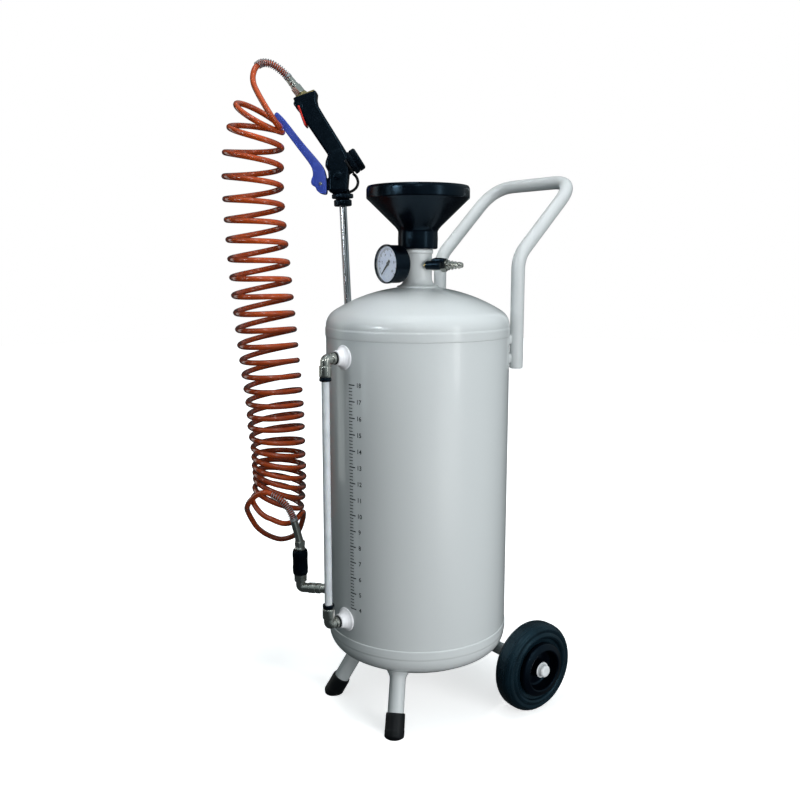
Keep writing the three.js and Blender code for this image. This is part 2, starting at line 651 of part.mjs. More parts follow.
const inletBar = (radius, low, high, sides) => bar(
  radius,
  flat(along(INLET_FOOT, INLET_WAY, low)),
  flat(along(INLET_FOOT, INLET_WAY, high)),
  sides,
);
const across = ([x, z], radius, y0, y1, sides) => bar(radius, [x, y0, z], [x, y1, z], sides);
const GRIP_HALF = 12;
const BODY_HALF = 14;
const grip = [[-36.6, 842.3], [-38.6, 860.4], [-70.1, 849.6], [-67.4, 841.4], [-51.7, 815.8],
  [-21.6, 772.1], [-12, 760], [3.2, 779.4]];
const gunBlock = [[5.5, 720.7], [6.4, 741.8], [3.2, 779.4], [-21.6, 772.1], [-25.4, 760.7],
  [-22, 755], [-22, 720.7]];
const cutBody = carve(
  plate(grip, GRIP_HALF, 3),
  [plate(gunBlock, BODY_HALF, 2), block(-38, -20, -4, 4, 726, 740)],
  [
    capBar(CAP_SEAT, 2.7, 30, ROUND),
    inletBar(INLET_SEAT, -1.3, 12, ROUND),
    across(LEVER_PIVOT, LEVER_PIN_R + PIVOT_CLEARANCE, -6, 6, SMALL),
    across(LATCH_PIVOT, 1.6, -16, -8, TINY),
    across(LATCH_PIVOT, 1.6, 8, 16, TINY),
  ],
);
add(gun, "gun_body", "black", carve(
  cutBody,
  [capBar(12, 0, 16, ROUND), rod(5.2, 715.5, 724, SMALL).translate(-2.3, 0, 0)],
  [],
));
add(gun, "gun_inlet", "brass", inletBar(INLET_R, -1, 4, ROUND));
const LEVER_HALF = 9;
add(gun, "gun_lever", "blue", carve(
  plate([[-96.9, 829.2], [-86.1, 810.3], [-46.8, 757.9], [-44, 745], [-41.4, 730.6], [-33, 722],
    [-25.3, 719.4], [-24.5, 722], [-26, 745], [-35.5, 764], [-91.9, 829.9]], LEVER_HALF, 1),
  [],
  [
    block(-48, -20, -4.6, 4.6, 718, 745),
    across(LEVER_PIVOT, LEVER_PIN_R + 2 * PIVOT_CLEARANCE, -12, 12, SMALL),
  ],
));
add(gun, "lever_pin", "steel", across(LEVER_PIVOT, LEVER_PIN_R, -10, 10, SMALL));
const BAIL_R = 1.4; // red wire latch
const BAIL_Y = 14.2;
const BAIL_BAR = [-53.3, 814];
add(gun, "gun_latch", "red", sweepCurve(bentPath([
  flat(LATCH_PIVOT, -9), flat(LATCH_PIVOT, -BAIL_Y), flat(BAIL_BAR, -BAIL_Y),
  flat(BAIL_BAR, BAIL_Y), flat(LATCH_PIVOT, BAIL_Y), flat(LATCH_PIVOT, 9),
], 2), BAIL_R, 30, TINY));
add(gun, "gun_cap", "black", carve(capBar(16.5, 7, 24, ROUND), [], [capBar(CAP_BORE, 6, 18, ROUND)]));
add(gun, "gun_strap", "black", carve(
  capBar(16, 3, 6, ROUND),
  [
    sweep([[14, 0, 746], [18.6, 0, 741], [20, 0, 735], [17, 0, 728.5], [9.5, 0, 723.4]], 2.2, 10, 8),
  ],
  [capBar(CAP_BORE, 2, 8, ROUND), plate(gunBlock, BODY_HALF + GAP, 0).translate(GAP, 0, 0)],
));

// ---- coiled hose, from the outlet coupler up to the gun, in the gun's frame ----
// Stretch of a longer curve, between two parts of its length.
class Stretch extends THREE.Curve {
  constructor(whole, from, to) {
    super();
    Object.assign(this, { whole, from, to });
  }

  getPoint(part, target) {
    return this.whole.getPointAt(this.from + (this.to - this.from) * part, target);
  }
}

const GUARD_R = 5.6; // spring guard at each end of the hose
const GUARD = 54; // length of each guard
const TAIL = 31; // the ferrules' ends, from the face that they seat on

// The guard and then the bare hose, along one route that starts at the ferrule.
function guarded(name, points, steps) {
  const route = new THREE.CatmullRomCurve3(points.map((p) => new THREE.Vector3(...p)));
  const length = route.getLength();
  const guard = new Stretch(route, 0, GUARD / length);
  const hose = new Stretch(route, (GUARD + GAP) / length, 1);
  add(gun, `hose_guard_${name}`, "steel", sweepCurve(guard, GUARD_R, 8, TINY));
  add(gun, `hose_${name}_lead`, "hose", sweepCurve(hose, HOSE_R, steps, TINY));
}

add(gun, "hose_ferrule_upper", "nickel", carve(
  inletBar(8, 4.3, 16, 6), [inletBar(FERRULE_R, 15, TAIL, SMALL)], [inletBar(FERRULE_BORE, 3, 12, TINY)]));
guarded("upper", [
  flat(along(INLET_FOOT, INLET_WAY, TAIL + GAP)), flat(along(INLET_FOOT, INLET_WAY, TAIL + 4)),
  [-88.8, -2, 890.6], [-100.7, -6, 897.2], [-112.5, -11, 897.4], [-120.1, -16, 891],
  [-123.5, -22, 879.1], [-121, -32, 865.2], [-114, -43, 851.8], [-103.5, -58, 834.9],
  [-91, -66, 815.6],
], 8);

// The coil's own axis, from its foot to its top turn.
const coilAxis = new THREE.CatmullRomCurve3([
  [-104, -21.5, 262], [-100, -22, 290], [-99.8, -23, 335], [-103, -24.6, 400],
  [-111, -26.7, 503], [-120.5, -29.3, 620], [-125.6, -31.5, 720], [-123.5, -32.8, 775],
  [-114, -34, 816],
].map((p) => new THREE.Vector3(...p)));
const COIL_TILT = 0.5; // slope of the top turn, falling to nothing in the upper part
const TILT_FROM = 0.8;
const COIL_LEVELS = 11;
const coilProfile = [[0, 0]];
for (let i = 0; i <= COIL_LEVELS; i++) {
  const up = i / COIL_LEVELS;
  coilProfile.push([COIL_R_LOW + (COIL_R_TOP - COIL_R_LOW) * up, up]);
}
const coil = turned([...coilProfile, [0, 1]], ROUND);
const corners = coil.getAttribute("position");
for (let i = 0; i < corners.count; i++) {
  const up = corners.getZ(i);
  const middle = coilAxis.getPoint(Math.min(1, Math.max(0, up)));
  const slope = COIL_TILT * Math.max(0, (up - TILT_FROM) / (1 - TILT_FROM));
  const x = corners.getX(i);
  corners.setXYZ(i, middle.x + x / Math.hypot(1, slope), middle.y + corners.getY(i),
    middle.z - slope * x / Math.hypot(1, slope));
}
add(gun, "hose_coil", "hose", coil);
const couplerAt = inGunFrame(
  OUTLET_OUT * Math.cos(THREE.MathUtils.degToRad(OUTLET_TURN)),
  OUTLET_OUT * Math.sin(THREE.MathUtils.degToRad(OUTLET_TURN)),
);
const tailStart = [couplerAt.x, couplerAt.y, 222];
const TAIL_WAY = [-0.247, 0, 0.969]; // the hose leaves the outlet this way
const TAIL_LOW = 31.3;
add(gun, "hose_ferrule_lower", "nickel", carve(
  turned([[0, 195.5], [5.5, 195.5], [5.5, 210.4], [7.5, 210.4], [7.5, 225], [0, 225]], ROUND)
    .translate(couplerAt.x, couplerAt.y, 0),
  [bar(FERRULE_R, tailStart, along(tailStart, TAIL_WAY, TAIL_LOW), SMALL)],
  [rod(FERRULE_BORE, 190, 218, TINY).translate(couplerAt.x, couplerAt.y, 0)],
));
guarded("lower", [
  along(tailStart, TAIL_WAY, TAIL_LOW + GAP), along(tailStart, TAIL_WAY, TAIL_LOW + 4),
  [-77.5, -74.6, 268.5], [-85.5, -74, 280.1], [-98.9, -71.5, 288.9], [-112.7, -67.5, 292.7],
  [-124.9, -61, 287.8], [-137, -52, 277.5], [-144, -43, 267], [-148, -30, 256],
  [-144.9, -14, 236.4], [-138.4, 0, 217.7], [-125, 10, 203.3], [-106, 12, 196.3],
  [-84, 5, 204.4], [-72.7, -5, 219.8], [-64.8, -25, 251.2], [-76.7, -48, 243],
  [-89.8, -60, 244.2], [-107.4, -62, 251.7], [-113, -61.5, 253.8],
], 28);

sprayer.position.set(...TANK_OFFSET, 0);
export default sprayer;
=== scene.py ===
"""Looks of the wheeled pressure sprayer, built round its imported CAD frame.

Blender works in metres. Shapes are drawn in millimetres in the same frames as the CAD part (the
tank's axis, the gauge, the gun's plane) and scaled once, when their mesh is made.
"""
import json
from math import asin, atan2, cos, degrees, hypot, pi, radians, sin, sqrt, tan

import bmesh
import bpy
from mathutils import Matrix, Vector


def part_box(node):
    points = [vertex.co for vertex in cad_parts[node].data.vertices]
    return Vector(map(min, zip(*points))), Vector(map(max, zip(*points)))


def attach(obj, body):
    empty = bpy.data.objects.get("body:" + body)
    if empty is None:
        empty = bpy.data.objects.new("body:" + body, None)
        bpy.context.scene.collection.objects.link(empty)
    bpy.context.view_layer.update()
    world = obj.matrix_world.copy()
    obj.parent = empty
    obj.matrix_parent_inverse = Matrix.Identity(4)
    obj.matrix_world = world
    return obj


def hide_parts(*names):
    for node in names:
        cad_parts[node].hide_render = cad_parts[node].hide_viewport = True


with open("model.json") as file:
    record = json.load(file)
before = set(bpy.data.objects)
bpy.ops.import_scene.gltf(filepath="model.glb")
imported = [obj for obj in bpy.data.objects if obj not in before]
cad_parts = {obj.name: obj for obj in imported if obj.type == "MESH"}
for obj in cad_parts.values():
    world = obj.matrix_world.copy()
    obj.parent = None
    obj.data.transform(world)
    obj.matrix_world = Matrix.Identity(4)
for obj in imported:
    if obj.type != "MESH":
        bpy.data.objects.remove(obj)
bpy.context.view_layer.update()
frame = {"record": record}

MM = 0.001
TAU = 2 * pi
WORLD = Matrix.Identity(4)
BODY_OF = {n: body for body, nodes in frame["record"]["behaviour"]["bodies"].items() for n in nodes}

# ---- driving dimensions, millimetres, as in the CAD part ----
TANK_R = 125
WALL = 2.5
SEAM_LOW = 109
SEAM_TOP = 536.6
SKIRT = 13
SKIRT_PROUD = 0.8
CROWN_R = 215
KNUCKLE_R = 25
NECK_R = 19
NECK_BORE = 16
NECK_TOP = 655
PORT_Z = 618
GAUGE_Z = 619.5
HANDLE_R = 9.2
LEVEL_OUT = 153
LEVEL_HIGH = 501.4
LEVEL_LOW = 147.5
OUTLET_OUT = 171
OUTLET_Z = 152
WHEEL_R = 62.5
WHEEL_OUT = 131
AXLE_Y = 104.5
STUB_FROM = 14.5
HOSE_R = 4
GUN_AT = (-140, -25)
GUN_TURN = 51.55

# ---- frames ----
def box_middle(node):
    low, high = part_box(node)
    return (low + high) / 2


def at(x, y, z):
    return Matrix.Translation(Vector((x, y, z)) * MM)


def turn_z(degrees):
    return Matrix.Rotation(radians(degrees), 4, "Z")


AXIS = box_middle("tank_shell")
TANK = Matrix.Translation((AXIS.x, AXIS.y, 0))
# Carries a shape's own Z to +X and its own Y to +Z, so that a turned shape points outwards.
OUTWARD = Matrix(((0, 0, 1, 0), (1, 0, 0, 0), (0, 1, 0, 0), (0, 0, 0, 1)))
UPSIDE_DOWN = Matrix.Rotation(pi, 4, "X")
# Lays the XZ plane's outline, drawn in XY, upright: own Y goes to +Z and own Z across to -Y.
UPRIGHT = Matrix.Rotation(pi / 2, 4, "X")


def facing(degrees, z=0):
    """Frame whose +X points out from the tank's axis at that angle."""
    return TANK @ turn_z(degrees) @ at(0, 0, z)


GUN = TANK @ at(*GUN_AT, 0) @ turn_z(GUN_TURN)


def towards(start, way):
    """Frame at start, in millimetres, whose own Z runs along way."""
    turn = Vector((0, 0, 1)).rotation_difference(Vector(way)).to_matrix().to_4x4()
    return at(*start) @ turn


# ---- camera ----
VIEW_TURN = 0.8998
VIEW_DISTANCE = 1.15795
VIEW_HEIGHT = 0.62
VIEW_YAW = 0.0208
VIEW_PITCH = 0.1597
LENS = 38.09


def make_camera():
    back = Vector((sin(VIEW_TURN), -cos(VIEW_TURN), 0))
    right = Vector((cos(VIEW_TURN), sin(VIEW_TURN), 0))
    level = -back * cos(VIEW_YAW) - right * sin(VIEW_YAW)
    look = level * cos(VIEW_PITCH) - Vector((0, 0, sin(VIEW_PITCH)))
    side = look.cross(Vector((0, 0, 1))).normalized()
    up = side.cross(look)
    data = bpy.data.cameras.new("camera")
    data.lens = LENS
    data.sensor_width = 36
    camera = bpy.data.objects.new("camera", data)
    bpy.context.scene.collection.objects.link(camera)
    turn = Matrix((side, up, -look)).transposed().to_4x4()
    eye = Vector((AXIS.x, AXIS.y, VIEW_HEIGHT)) + back * VIEW_DISTANCE
    camera.matrix_world = Matrix.Translation(eye) @ turn
    bpy.context.scene.camera = camera
    return back, right


BACK, RIGHT = make_camera()


# ---- materials ----
def add_node(tree, kind, sockets, **settings):
    """Shader node. sockets gives each input, by name or number, its value or the output it takes."""
    node = tree.nodes.new("ShaderNode" + kind)
    for setting, value in settings.items():
        setattr(node, setting, value)
    for key, value in sockets.items():
        if isinstance(value, bpy.types.NodeSocket):
            tree.links.new(value, node.inputs[key])
        else:
            node.inputs[key].default_value = value
    return node


def map_range(tree, value, source, target):
    """Output that runs over the target's two ends as value runs over the source's."""
    return add_node(tree, "MapRange", {
        "Value": value, "From Min": source[0], "From Max": source[1],
        "To Min": target[0], "To Max": target[1]}).outputs["Result"]


def colour(code):
    """Linear colour of a #rrggbb code."""
    parts = [int(code[i:i + 2], 16) / 255 for i in (0, 2, 4)]
    return [p / 12.92 if p <= 0.04045 else ((p + 0.055) / 1.055) ** 2.4 for p in parts] + [1]


class Finish:
    """A material with its shader and the few nodes that the finishes are built from."""

    def __init__(self, name, metallic=0, **sockets):
        self.material = bpy.data.materials.new(name)
        self.material.use_nodes = True
        self.tree = self.material.node_tree
        self.shader = self.tree.nodes["Principled BSDF"]
        self.shader.inputs["Metallic"].default_value = metallic
        for socket, value in sockets.items():
            self.shader.inputs[socket.replace("_", " ")].default_value = value
        self.place = self.tree.nodes.new("ShaderNodeTexCoord").outputs["Object"]
        self.last_bump = None

    def feed(self, output, socket):
        self.tree.links.new(output, self.shader.inputs[socket])

    def noise(self, scale, detail=3, stretch=None):
        source = self.place
        if stretch:
            mapping = add_node(self.tree, "Mapping", {"Vector": source, "Scale": stretch})
            source = mapping.outputs["Vector"]
        sockets = {"Vector": source, "Scale": scale, "Detail": detail}
        return add_node(self.tree, "TexNoise", sockets).outputs["Fac"]

    def paint(self, factor, *stops):
        """Base colour between two stops, each a place along factor and a colour code."""
        node = add_node(self.tree, "ValToRGB", {"Fac": factor})
        for element, (place, code) in zip(node.color_ramp.elements, stops):
            element.position = place
            element.color = colour(code)
        self.feed(node.outputs["Color"], "Base Color")

    def gloss(self, factor, low, high):
        """Roughness from low to high over the middle of factor's range."""
        self.feed(map_range(self.tree, factor, (0.3, 0.7), (low, high)), "Roughness")

    def bump(self, factor, height):
        """Relief of that height in millimetres, on top of the reliefs given before it."""
        sockets = {"Distance": height * MM, "Height": factor}
        if self.last_bump:
            sockets["Normal"] = self.last_bump
        self.last_bump = add_node(self.tree, "Bump", sockets).outputs["Normal"]
        self.feed(self.last_bump, "Normal")


def paint_finish():
    f = Finish("grey_paint", Coat_Weight=0.6, Coat_Roughness=0.09)
    f.paint(f.noise(3, 1), (0.1, "c1c5c6"), (0.9, "c4c8c9"))
    f.gloss(f.noise(5, 1), 0.28, 0.31)
    f.bump(f.noise(500, 1), 0.012)
    f.bump(f.noise(14, 1), 0.03)
    return f.material


def plastic_finish(name, dark, light, rough, grain=700, coat=0.0, relief=0.03, **sockets):
    f = Finish(name, Coat_Weight=coat, Coat_Roughness=0.15, **sockets)
    f.paint(f.noise(60), (0.3, dark), (0.7, light))
    f.gloss(f.noise(120), *rough)
    f.bump(f.noise(grain, 2), relief)
    return f.material


def metal_finish(name, dark, light, rough, stretch=(1, 1, 1), scale=240):
    f = Finish(name, metallic=1)
    f.paint(f.noise(90, 3, stretch), (0.3, dark), (0.7, light))
    f.gloss(f.noise(scale, 4, stretch), *rough)
    f.bump(f.noise(scale, 1, stretch), 0.006)
    return f.material


def hose_finish():
    f = Finish("clear_orange_hose", Coat_Weight=1, Coat_Roughness=0.05)
    f.paint(f.noise(30), (0.3, "95360c"), (0.7, "b04612"))
    f.gloss(f.noise(70), 0.16, 0.26)
    f.bump(f.noise(160, 2), 0.08)
    return f.material


def tyre_finish():
    f = Finish("tyre_rubber")
    f.paint(f.noise(50), (0.3, "061017"), (0.7, "0c1a22"))
    f.shader.inputs["Specular Tint"].default_value = (0.45, 0.8, 1, 1)
    f.gloss(f.noise(90), 0.24, 0.34)
    f.bump(f.noise(500, 3), 0.04)
    return f.material


def lens_finish():
    f = Finish("clear_lens", Alpha=0.06, Roughness=0.03, Specular_IOR_Level=0.8)
    f.paint(f.noise(20), (0.3, "f4f8fa"), (0.7, "ffffff"))
    f.bump(f.noise(120, 1), 0.01)
    return f.material


FINISH = {
    "paint": paint_finish(),
    "black_plastic": plastic_finish("black_plastic", "010206", "03050b", (0.18, 0.27), relief=0.012,
                                    Specular_IOR_Level=0.32, Specular_Tint=(0.4, 0.72, 1, 1)),
    "rubber": plastic_finish("black_rubber", "030406", "08090d", (0.4, 0.52), grain=400),
    "tyre": tyre_finish(),
    "nickel": metal_finish("nickel_plate", "cfcec6", "dad8d0", (0.2, 0.26)),
    "brass": metal_finish("brass", "b59e62", "dccb98", (0.2, 0.34)),
    "steel": metal_finish("polished_steel", "bcbec1", "ccced1", (0.18, 0.25), (1, 1, 0.06), 900),
    "white_plastic": plastic_finish("white_plastic", "dcdce0", "efeff2", (0.28, 0.4), coat=0.3),
    "level_tube": plastic_finish("milky_tube", "c6c7ca", "dadadd", (0.28, 0.4), grain=200,
                                 Subsurface_Weight=0.1),
    "dial": plastic_finish("dial_card", "d9e2f8", "eff3ff", (0.45, 0.6)),
    "needle": plastic_finish("needle_black", "08080a", "121216", (0.4, 0.55)),
    "lens": lens_finish(),
    "blue_plastic": plastic_finish("blue_plastic", "2a3d9a", "3a50ae", (0.28, 0.4), coat=0.3),
    "red_wire": plastic_finish("red_coating", "a81d14", "cf2c1f", (0.28, 0.4), coat=0.4),
    "hose": hose_finish(),
}
WIRE = metal_finish("spring_wire", "dcdee1", "f4f5f7", (0.36, 0.48))
ZINC = plastic_finish("zinc_cap", "c4c7ca", "dfe1e3", (0.3, 0.42), IOR=1.8)
PRINT = plastic_finish("scale_print", "0b0d11", "1b1f25", (0.45, 0.6))
RED_PRINT = plastic_finish("red_print", "c23a34", "dd5a50", (0.45, 0.6))


# ---- shapes ----
def link(name, data, place):
    obj = bpy.data.objects.new(name, data)
    bpy.context.scene.collection.objects.link(obj)
    obj.matrix_world = place
    return obj


def polar(r, turn, z=0):
    return r * cos(turn), r * sin(turn), z


def smoothed(mesh, sharp=36):
    """Smooth shading, with creases at edges that turn by more than `sharp` degrees."""
    mesh.shade_smooth()
    mesh.set_sharp_from_angle(angle=radians(sharp))


def shape(name, points, faces, place=WORLD, sharp=36):
    """Object of one mesh, drawn in millimetres, smooth except at edges sharper than `sharp`."""
    mesh = bpy.data.meshes.new(name)
    mesh.from_pydata([Vector(p) * MM for p in points], [], faces)
    form = bmesh.new()
    form.from_mesh(mesh)
    bmesh.ops.remove_doubles(form, verts=form.verts, dist=1e-7)
    bmesh.ops.recalc_face_normals(form, faces=form.faces)
    form.to_mesh(mesh)
    form.free()
    smoothed(mesh, sharp)
    return link(name, mesh, place)


def corner_arc(start, corner, end, bits):
    """Points of the curve that rounds a corner between two points on its sides."""
    for k in range(bits + 1):
        t = k / bits
        yield start * (1 - t) ** 2 + corner * 2 * t * (1 - t) + end * t * t


def easing(a, leave, b, arrive, t):
    """Point at t from a to b on the cubic that leaves a and arrives at b at those slopes."""
    return (a * (2 * t ** 3 - 3 * t * t + 1) + leave * (t ** 3 - 2 * t * t + t)
            + b * (3 * t * t - 2 * t ** 3) + arrive * (t ** 3 - t * t))


def soften(corners, radius, bits=4):
    """Closed outline with its corners rounded. Points on the axis, x = 0, stay."""
    outline = []
    for i, corner in enumerate(corners):
        here = Vector(corner)
        into = Vector(corners[i - 1]) - here
        away = Vector(corners[(i + 1) % len(corners)]) - here
        if here.x == 0 or into.length == 0 or away.length == 0:
            outline.append(here)
            continue
        reach = min(radius, 0.45 * into.length, 0.45 * away.length)
        start = here + into.normalized() * reach
        end = here + away.normalized() * reach
        outline += corner_arc(start, here, end, bits)
    return outline


def revolved(name, profile, place, sides, radius, sharp=36):
    """[radius, height] points carried round Z, where radius(r, turn) may change each one's radius."""
    count = len(profile)
    on_axis = profile[0][0] == 0 and profile[-1][0] == 0
    points = []
    faces = []
    for i in range(sides):
        turn = TAU * i / sides
        for r, z in profile:
            points.append(polar(radius(r, turn), turn, z))
        a = i * count
        b = (i + 1) % sides * count
        for j in range(count - 1 if on_axis else count):
            k = (j + 1) % count
            faces.append((a + j, b + j, b + k, a + k))
    return shape(name, points, faces, place, sharp)


def lathe(name, profile, place, sides=96, ribs=None):
    """Shape turned about Z from [radius, height] points. ribs = (how many, depth, from radius)."""
    def radius(r, turn):
        if ribs and r > ribs[2]:
            r = r - ribs[1] * (0.5 - 0.5 * cos(ribs[0] * turn)) ** 2
        return r

    return revolved(name, profile, place, sides, radius)


def rod(name, radius, low, high, place, edge=0.5, sides=96):
    """Round bar along Z between two heights."""
    profile = soften([(0, low), (radius, low), (radius, high), (0, high)], edge)
    return lathe(name, profile, place, sides)


def tube(name, outer, inner, low, high, place, edge=0.5, sides=96):
    profile = soften([(outer, low), (outer, high), (inner, high), (inner, low)], edge)
    return lathe(name, profile, place, sides)


def hexagon(name, across, low, high, place, bore=0):
    """Hex nut with chamfered corners, from a turned blank cut by its six flats."""
    flat = across * cos(pi / 6)
    blank = soften([(bore, low), (flat, low), (across, low + 1), (across, high - 1),
                    (flat, high), (bore, high)], 0.2)

    def radius(r, turn):
        return min(r, flat / cos((turn + pi / 6) % (pi / 3) - pi / 6))

    return revolved(name, blank, place, 96, radius, 25)


def frames_along(path):
    """Point, side and other side at each point of a path, turning without twist."""
    path = [Vector(p) for p in path]
    ways = [(path[min(i + 1, len(path) - 1)] - path[max(i - 1, 0)]).normalized()
            for i in range(len(path))]
    side = ways[0].orthogonal().normalized()
    for i, (point, way) in enumerate(zip(path, ways)):
        if i:
            side = ways[i - 1].rotation_difference(way) @ side
            side = (side - way * side.dot(way)).normalized()
        yield point, side, way.cross(side)


def sweep(name, path, radius, place, sides=20, flat=1.0):
    """Bar along a path, closed at both ends. radius is one number or one for each point, and the
    bar is `flat` times as wide across."""
    radii = radius if isinstance(radius, list) else [radius] * len(path)
    points = []
    faces = []
    for (point, side, other), r in zip(frames_along(path), radii):
        for k in range(sides):
            turn = TAU * k / sides
            points.append(point + (side * cos(turn) + other * flat * sin(turn)) * r)
    for i in range(len(path) - 1):
        a = i * sides
        b = a + sides
        faces += [(a + k, a + (k + 1) % sides, b + (k + 1) % sides, b + k) for k in range(sides)]
    faces.append(tuple(range(sides)))
    faces.append(tuple(range(len(points) - sides, len(points))))
    return shape(name, points, faces, place)


def bent(points, radius, bits=12):
    """Straight lines through the points with a bend of that radius at each corner."""
    path = [Vector(points[0])]
    for before, corner, after in zip(points, points[1:], points[2:]):
        corner = Vector(corner)
        into = (Vector(before) - corner).normalized()
        away = (Vector(after) - corner).normalized()
        reach = radius / tan(into.angle(away) / 2)
        path += corner_arc(corner + into * reach, corner, corner + away * reach, bits)
    path.append(Vector(points[-1]))
    return path


def smooth_line(points, bits=8):
    """Centripetal Catmull-Rom curve through the points, as the CAD part's routes are."""
    p = [Vector(q) for q in points]
    p = [p[0] * 2 - p[1], *p, p[-1] * 2 - p[-2]]
    line = []
    for a, b, c, d in zip(p, p[1:], p[2:], p[3:]):
        t0, t1, t2 = [max(1e-4, (v - u).length) ** 0.5 for u, v in ((a, b), (b, c), (c, d))]
        leave = ((b - a) / t0 - (c - a) / (t0 + t1) + (c - b) / t1) * t1
        arrive = ((c - b) / t1 - (d - b) / (t1 + t2) + (d - c) / t2) * t1
        line += [easing(b, leave, c, arrive, k / bits) for k in range(bits)]
    line.append(p[-2])
    return line


def prism_faces(count):
    """Faces between two outlines of that many points, one listed after the other."""
    around = [(i, (i + 1) % count, count + (i + 1) % count, count + i) for i in range(count)]
    return [tuple(range(count)), tuple(range(count, 2 * count)), *around]


def plate(name, outline, half, place, edge, bits=4):
    """Outline in the XZ plane, as thick as half on each side, with rounded edges."""
    points = [(x, y, z) for y in (-half, half) for x, z in outline]
    obj = shape(name, points, prism_faces(len(outline)), place)
    bevel = obj.modifiers.new("edge", "BEVEL")
    bevel.width = edge * MM
    bevel.segments = bits
    bevel.limit_method = "ANGLE"
    bevel.angle_limit = radians(50)
    return obj


def applied(obj, sharp=36):
    """The object with its modifiers made into its mesh."""
    bpy.context.view_layer.update()
    graph = bpy.context.evaluated_depsgraph_get()
    mesh = bpy.data.meshes.new_from_object(obj.evaluated_get(graph))
    obj.modifiers.clear()
    obj.data = mesh
    smoothed(mesh, sharp)
    return obj


def joined(name, pieces, fuse=None):
    """One object from several. fuse, in millimetres, melts them into one skin of that grain."""
    form = bmesh.new()
    for piece in pieces:
        mesh = applied(piece).data
        mesh.transform(piece.matrix_world)
        form.from_mesh(mesh)
        bpy.data.objects.remove(piece)
    mesh = bpy.data.meshes.new(name)
    form.to_mesh(mesh)
    form.free()
    obj = link(name, mesh, WORLD)
    smoothed(mesh)
    if fuse:
        melt = obj.modifiers.new("melt", "REMESH")
        melt.mode = "VOXEL"
        melt.voxel_size = fuse * MM
        melt.use_smooth_shade = True
        relax = obj.modifiers.new("relax", "SMOOTH")
        relax.factor = 0.6
        relax.iterations = 14
        applied(obj, 60)
    return obj


def stands_for(obj, slot, *nodes):
    """obj takes the place of CAD nodes, and moves with their body."""
    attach(obj, BODY_OF[nodes[0]])
    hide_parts(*nodes)
    return finished(obj, slot)


def goes_with(obj, slot, body="root"):
    """obj is a detail that no CAD node has, and moves with a body."""
    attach(obj, body)
    return finished(obj, slot)


def finished(obj, slot):
    obj.data.materials.clear()
    obj.data.materials.append(FINISH[slot])
    return obj


# ---- the hose: one cord from the gun down to the coupler, in the gun's frame ----
GUARD_R = 5.9
GUARD = 54
TAIL = 31
WIRE_R = 0.62
GUARD_PITCH = 2.6
INLET_WAY = Vector((-0.62, 0, 0.785)).normalized()
INLET_FOOT = Vector((-57.5, 0, 854.5))
OUTLET_TURN = radians(-135)
COUPLER_AT = GUN.inverted() @ TANK @ Vector(polar(OUTLET_OUT * MM, OUTLET_TURN)) / MM
LOWER_WAY = Vector((-0.247, 0, 0.969))
LOWER_TAIL = Vector((COUPLER_AT.x, COUPLER_AT.y, 222))
UPPER_ROUTE = [
    (-88.8, -2, 890.6), (-100.7, -6, 897.2), (-112.5, -11, 897.4), (-120.1, -16, 891),
    (-123.5, -22, 879.1), (-121, -32, 865.2), (-114, -43, 851.8), (-103.5, -58, 834.9),
    (-91, -66, 815.6), (-84.1, -56, 804.8),
]
LOWER_ROUTE = [
    (-77.5, -74.6, 268.5), (-85.5, -74, 280.1), (-98.9, -71.5, 288.9), (-112.7, -67.5, 292.7),
    (-124.9, -61, 287.8), (-137, -52, 277.5), (-144, -43, 267), (-148, -30, 256),
    (-144.9, -14, 236.4), (-138.4, 0, 217.7), (-125, 10, 203.3), (-106, 12, 196.3),
    (-84, 5, 204.4), (-72.7, -5, 219.8), (-64.8, -25, 251.2), (-76.7, -48, 243),
    (-89.8, -60, 244.2), (-107.4, -62, 251.7), (-113, -61.5, 253.8), (-122.9, -58, 259.7),
    (-135.5, -45, 271.4),
]
# The coil as it hangs, from the top turn down: turns so far, middle x, y, z, outside width, then
# how steeply the turn slopes along x and along y.
COIL = [
    (-0.5, -116.5, -35, 825, 71, 0.62, 0.26), (0.25, -114.3, -33.6, 819, 71, 0.48, 0.24),
    (1.25, -121.2, -33, 793, 82.3, 0.18, 0.04), (2.25, -124.7, -32.5, 763.3, 86.5, 0.065, 0),
    (4.25, -125.5, -31.2, 705.4, 87, -0.055, 0), (8.25, -118.8, -28.8, 599, 88.5, -0.105, 0),
    (12.25, -111.2, -26.7, 503.8, 87.7, -0.136, 0), (16.25, -103.6, -24.8, 418, 85, -0.084, 0),
    (18.25, -102.1, -24.1, 383.3, 84.4, -0.085, 0), (20.25, -100.3, -23.3, 346.1, 81.2, 0.052, 0),
    (22.25, -99.5, -22.6, 315.2, 81.3, 0.166, 0), (24.25, -100, -22, 289.7, 78.6, 0.32, 0),
    (26.25, -104.1, -21.3, 258.4, 78.5, 0.355, 0),
]
COIL_START = -0.5
COIL_END = 26
STEPS_A_TURN = 32


def coil_row(turns):
    """Middle, width and slopes of the coil after that many turns."""
    i = max(k for k in range(len(COIL) - 1) if COIL[k][0] <= turns)
    rows = [COIL[max(0, i - 1)], COIL[i], COIL[i + 1], COIL[min(len(COIL) - 1, i + 2)]]
    step = rows[2][0] - rows[1][0]
    t = (turns - rows[1][0]) / step
    values = []
    for a, b, c, d in zip(*(row[1:] for row in rows)):
        leave = (c - a) / (rows[2][0] - rows[0][0]) * step
        arrive = (d - b) / (rows[3][0] - rows[1][0]) * step
        values.append(easing(b, leave, c, arrive, t))
    return values


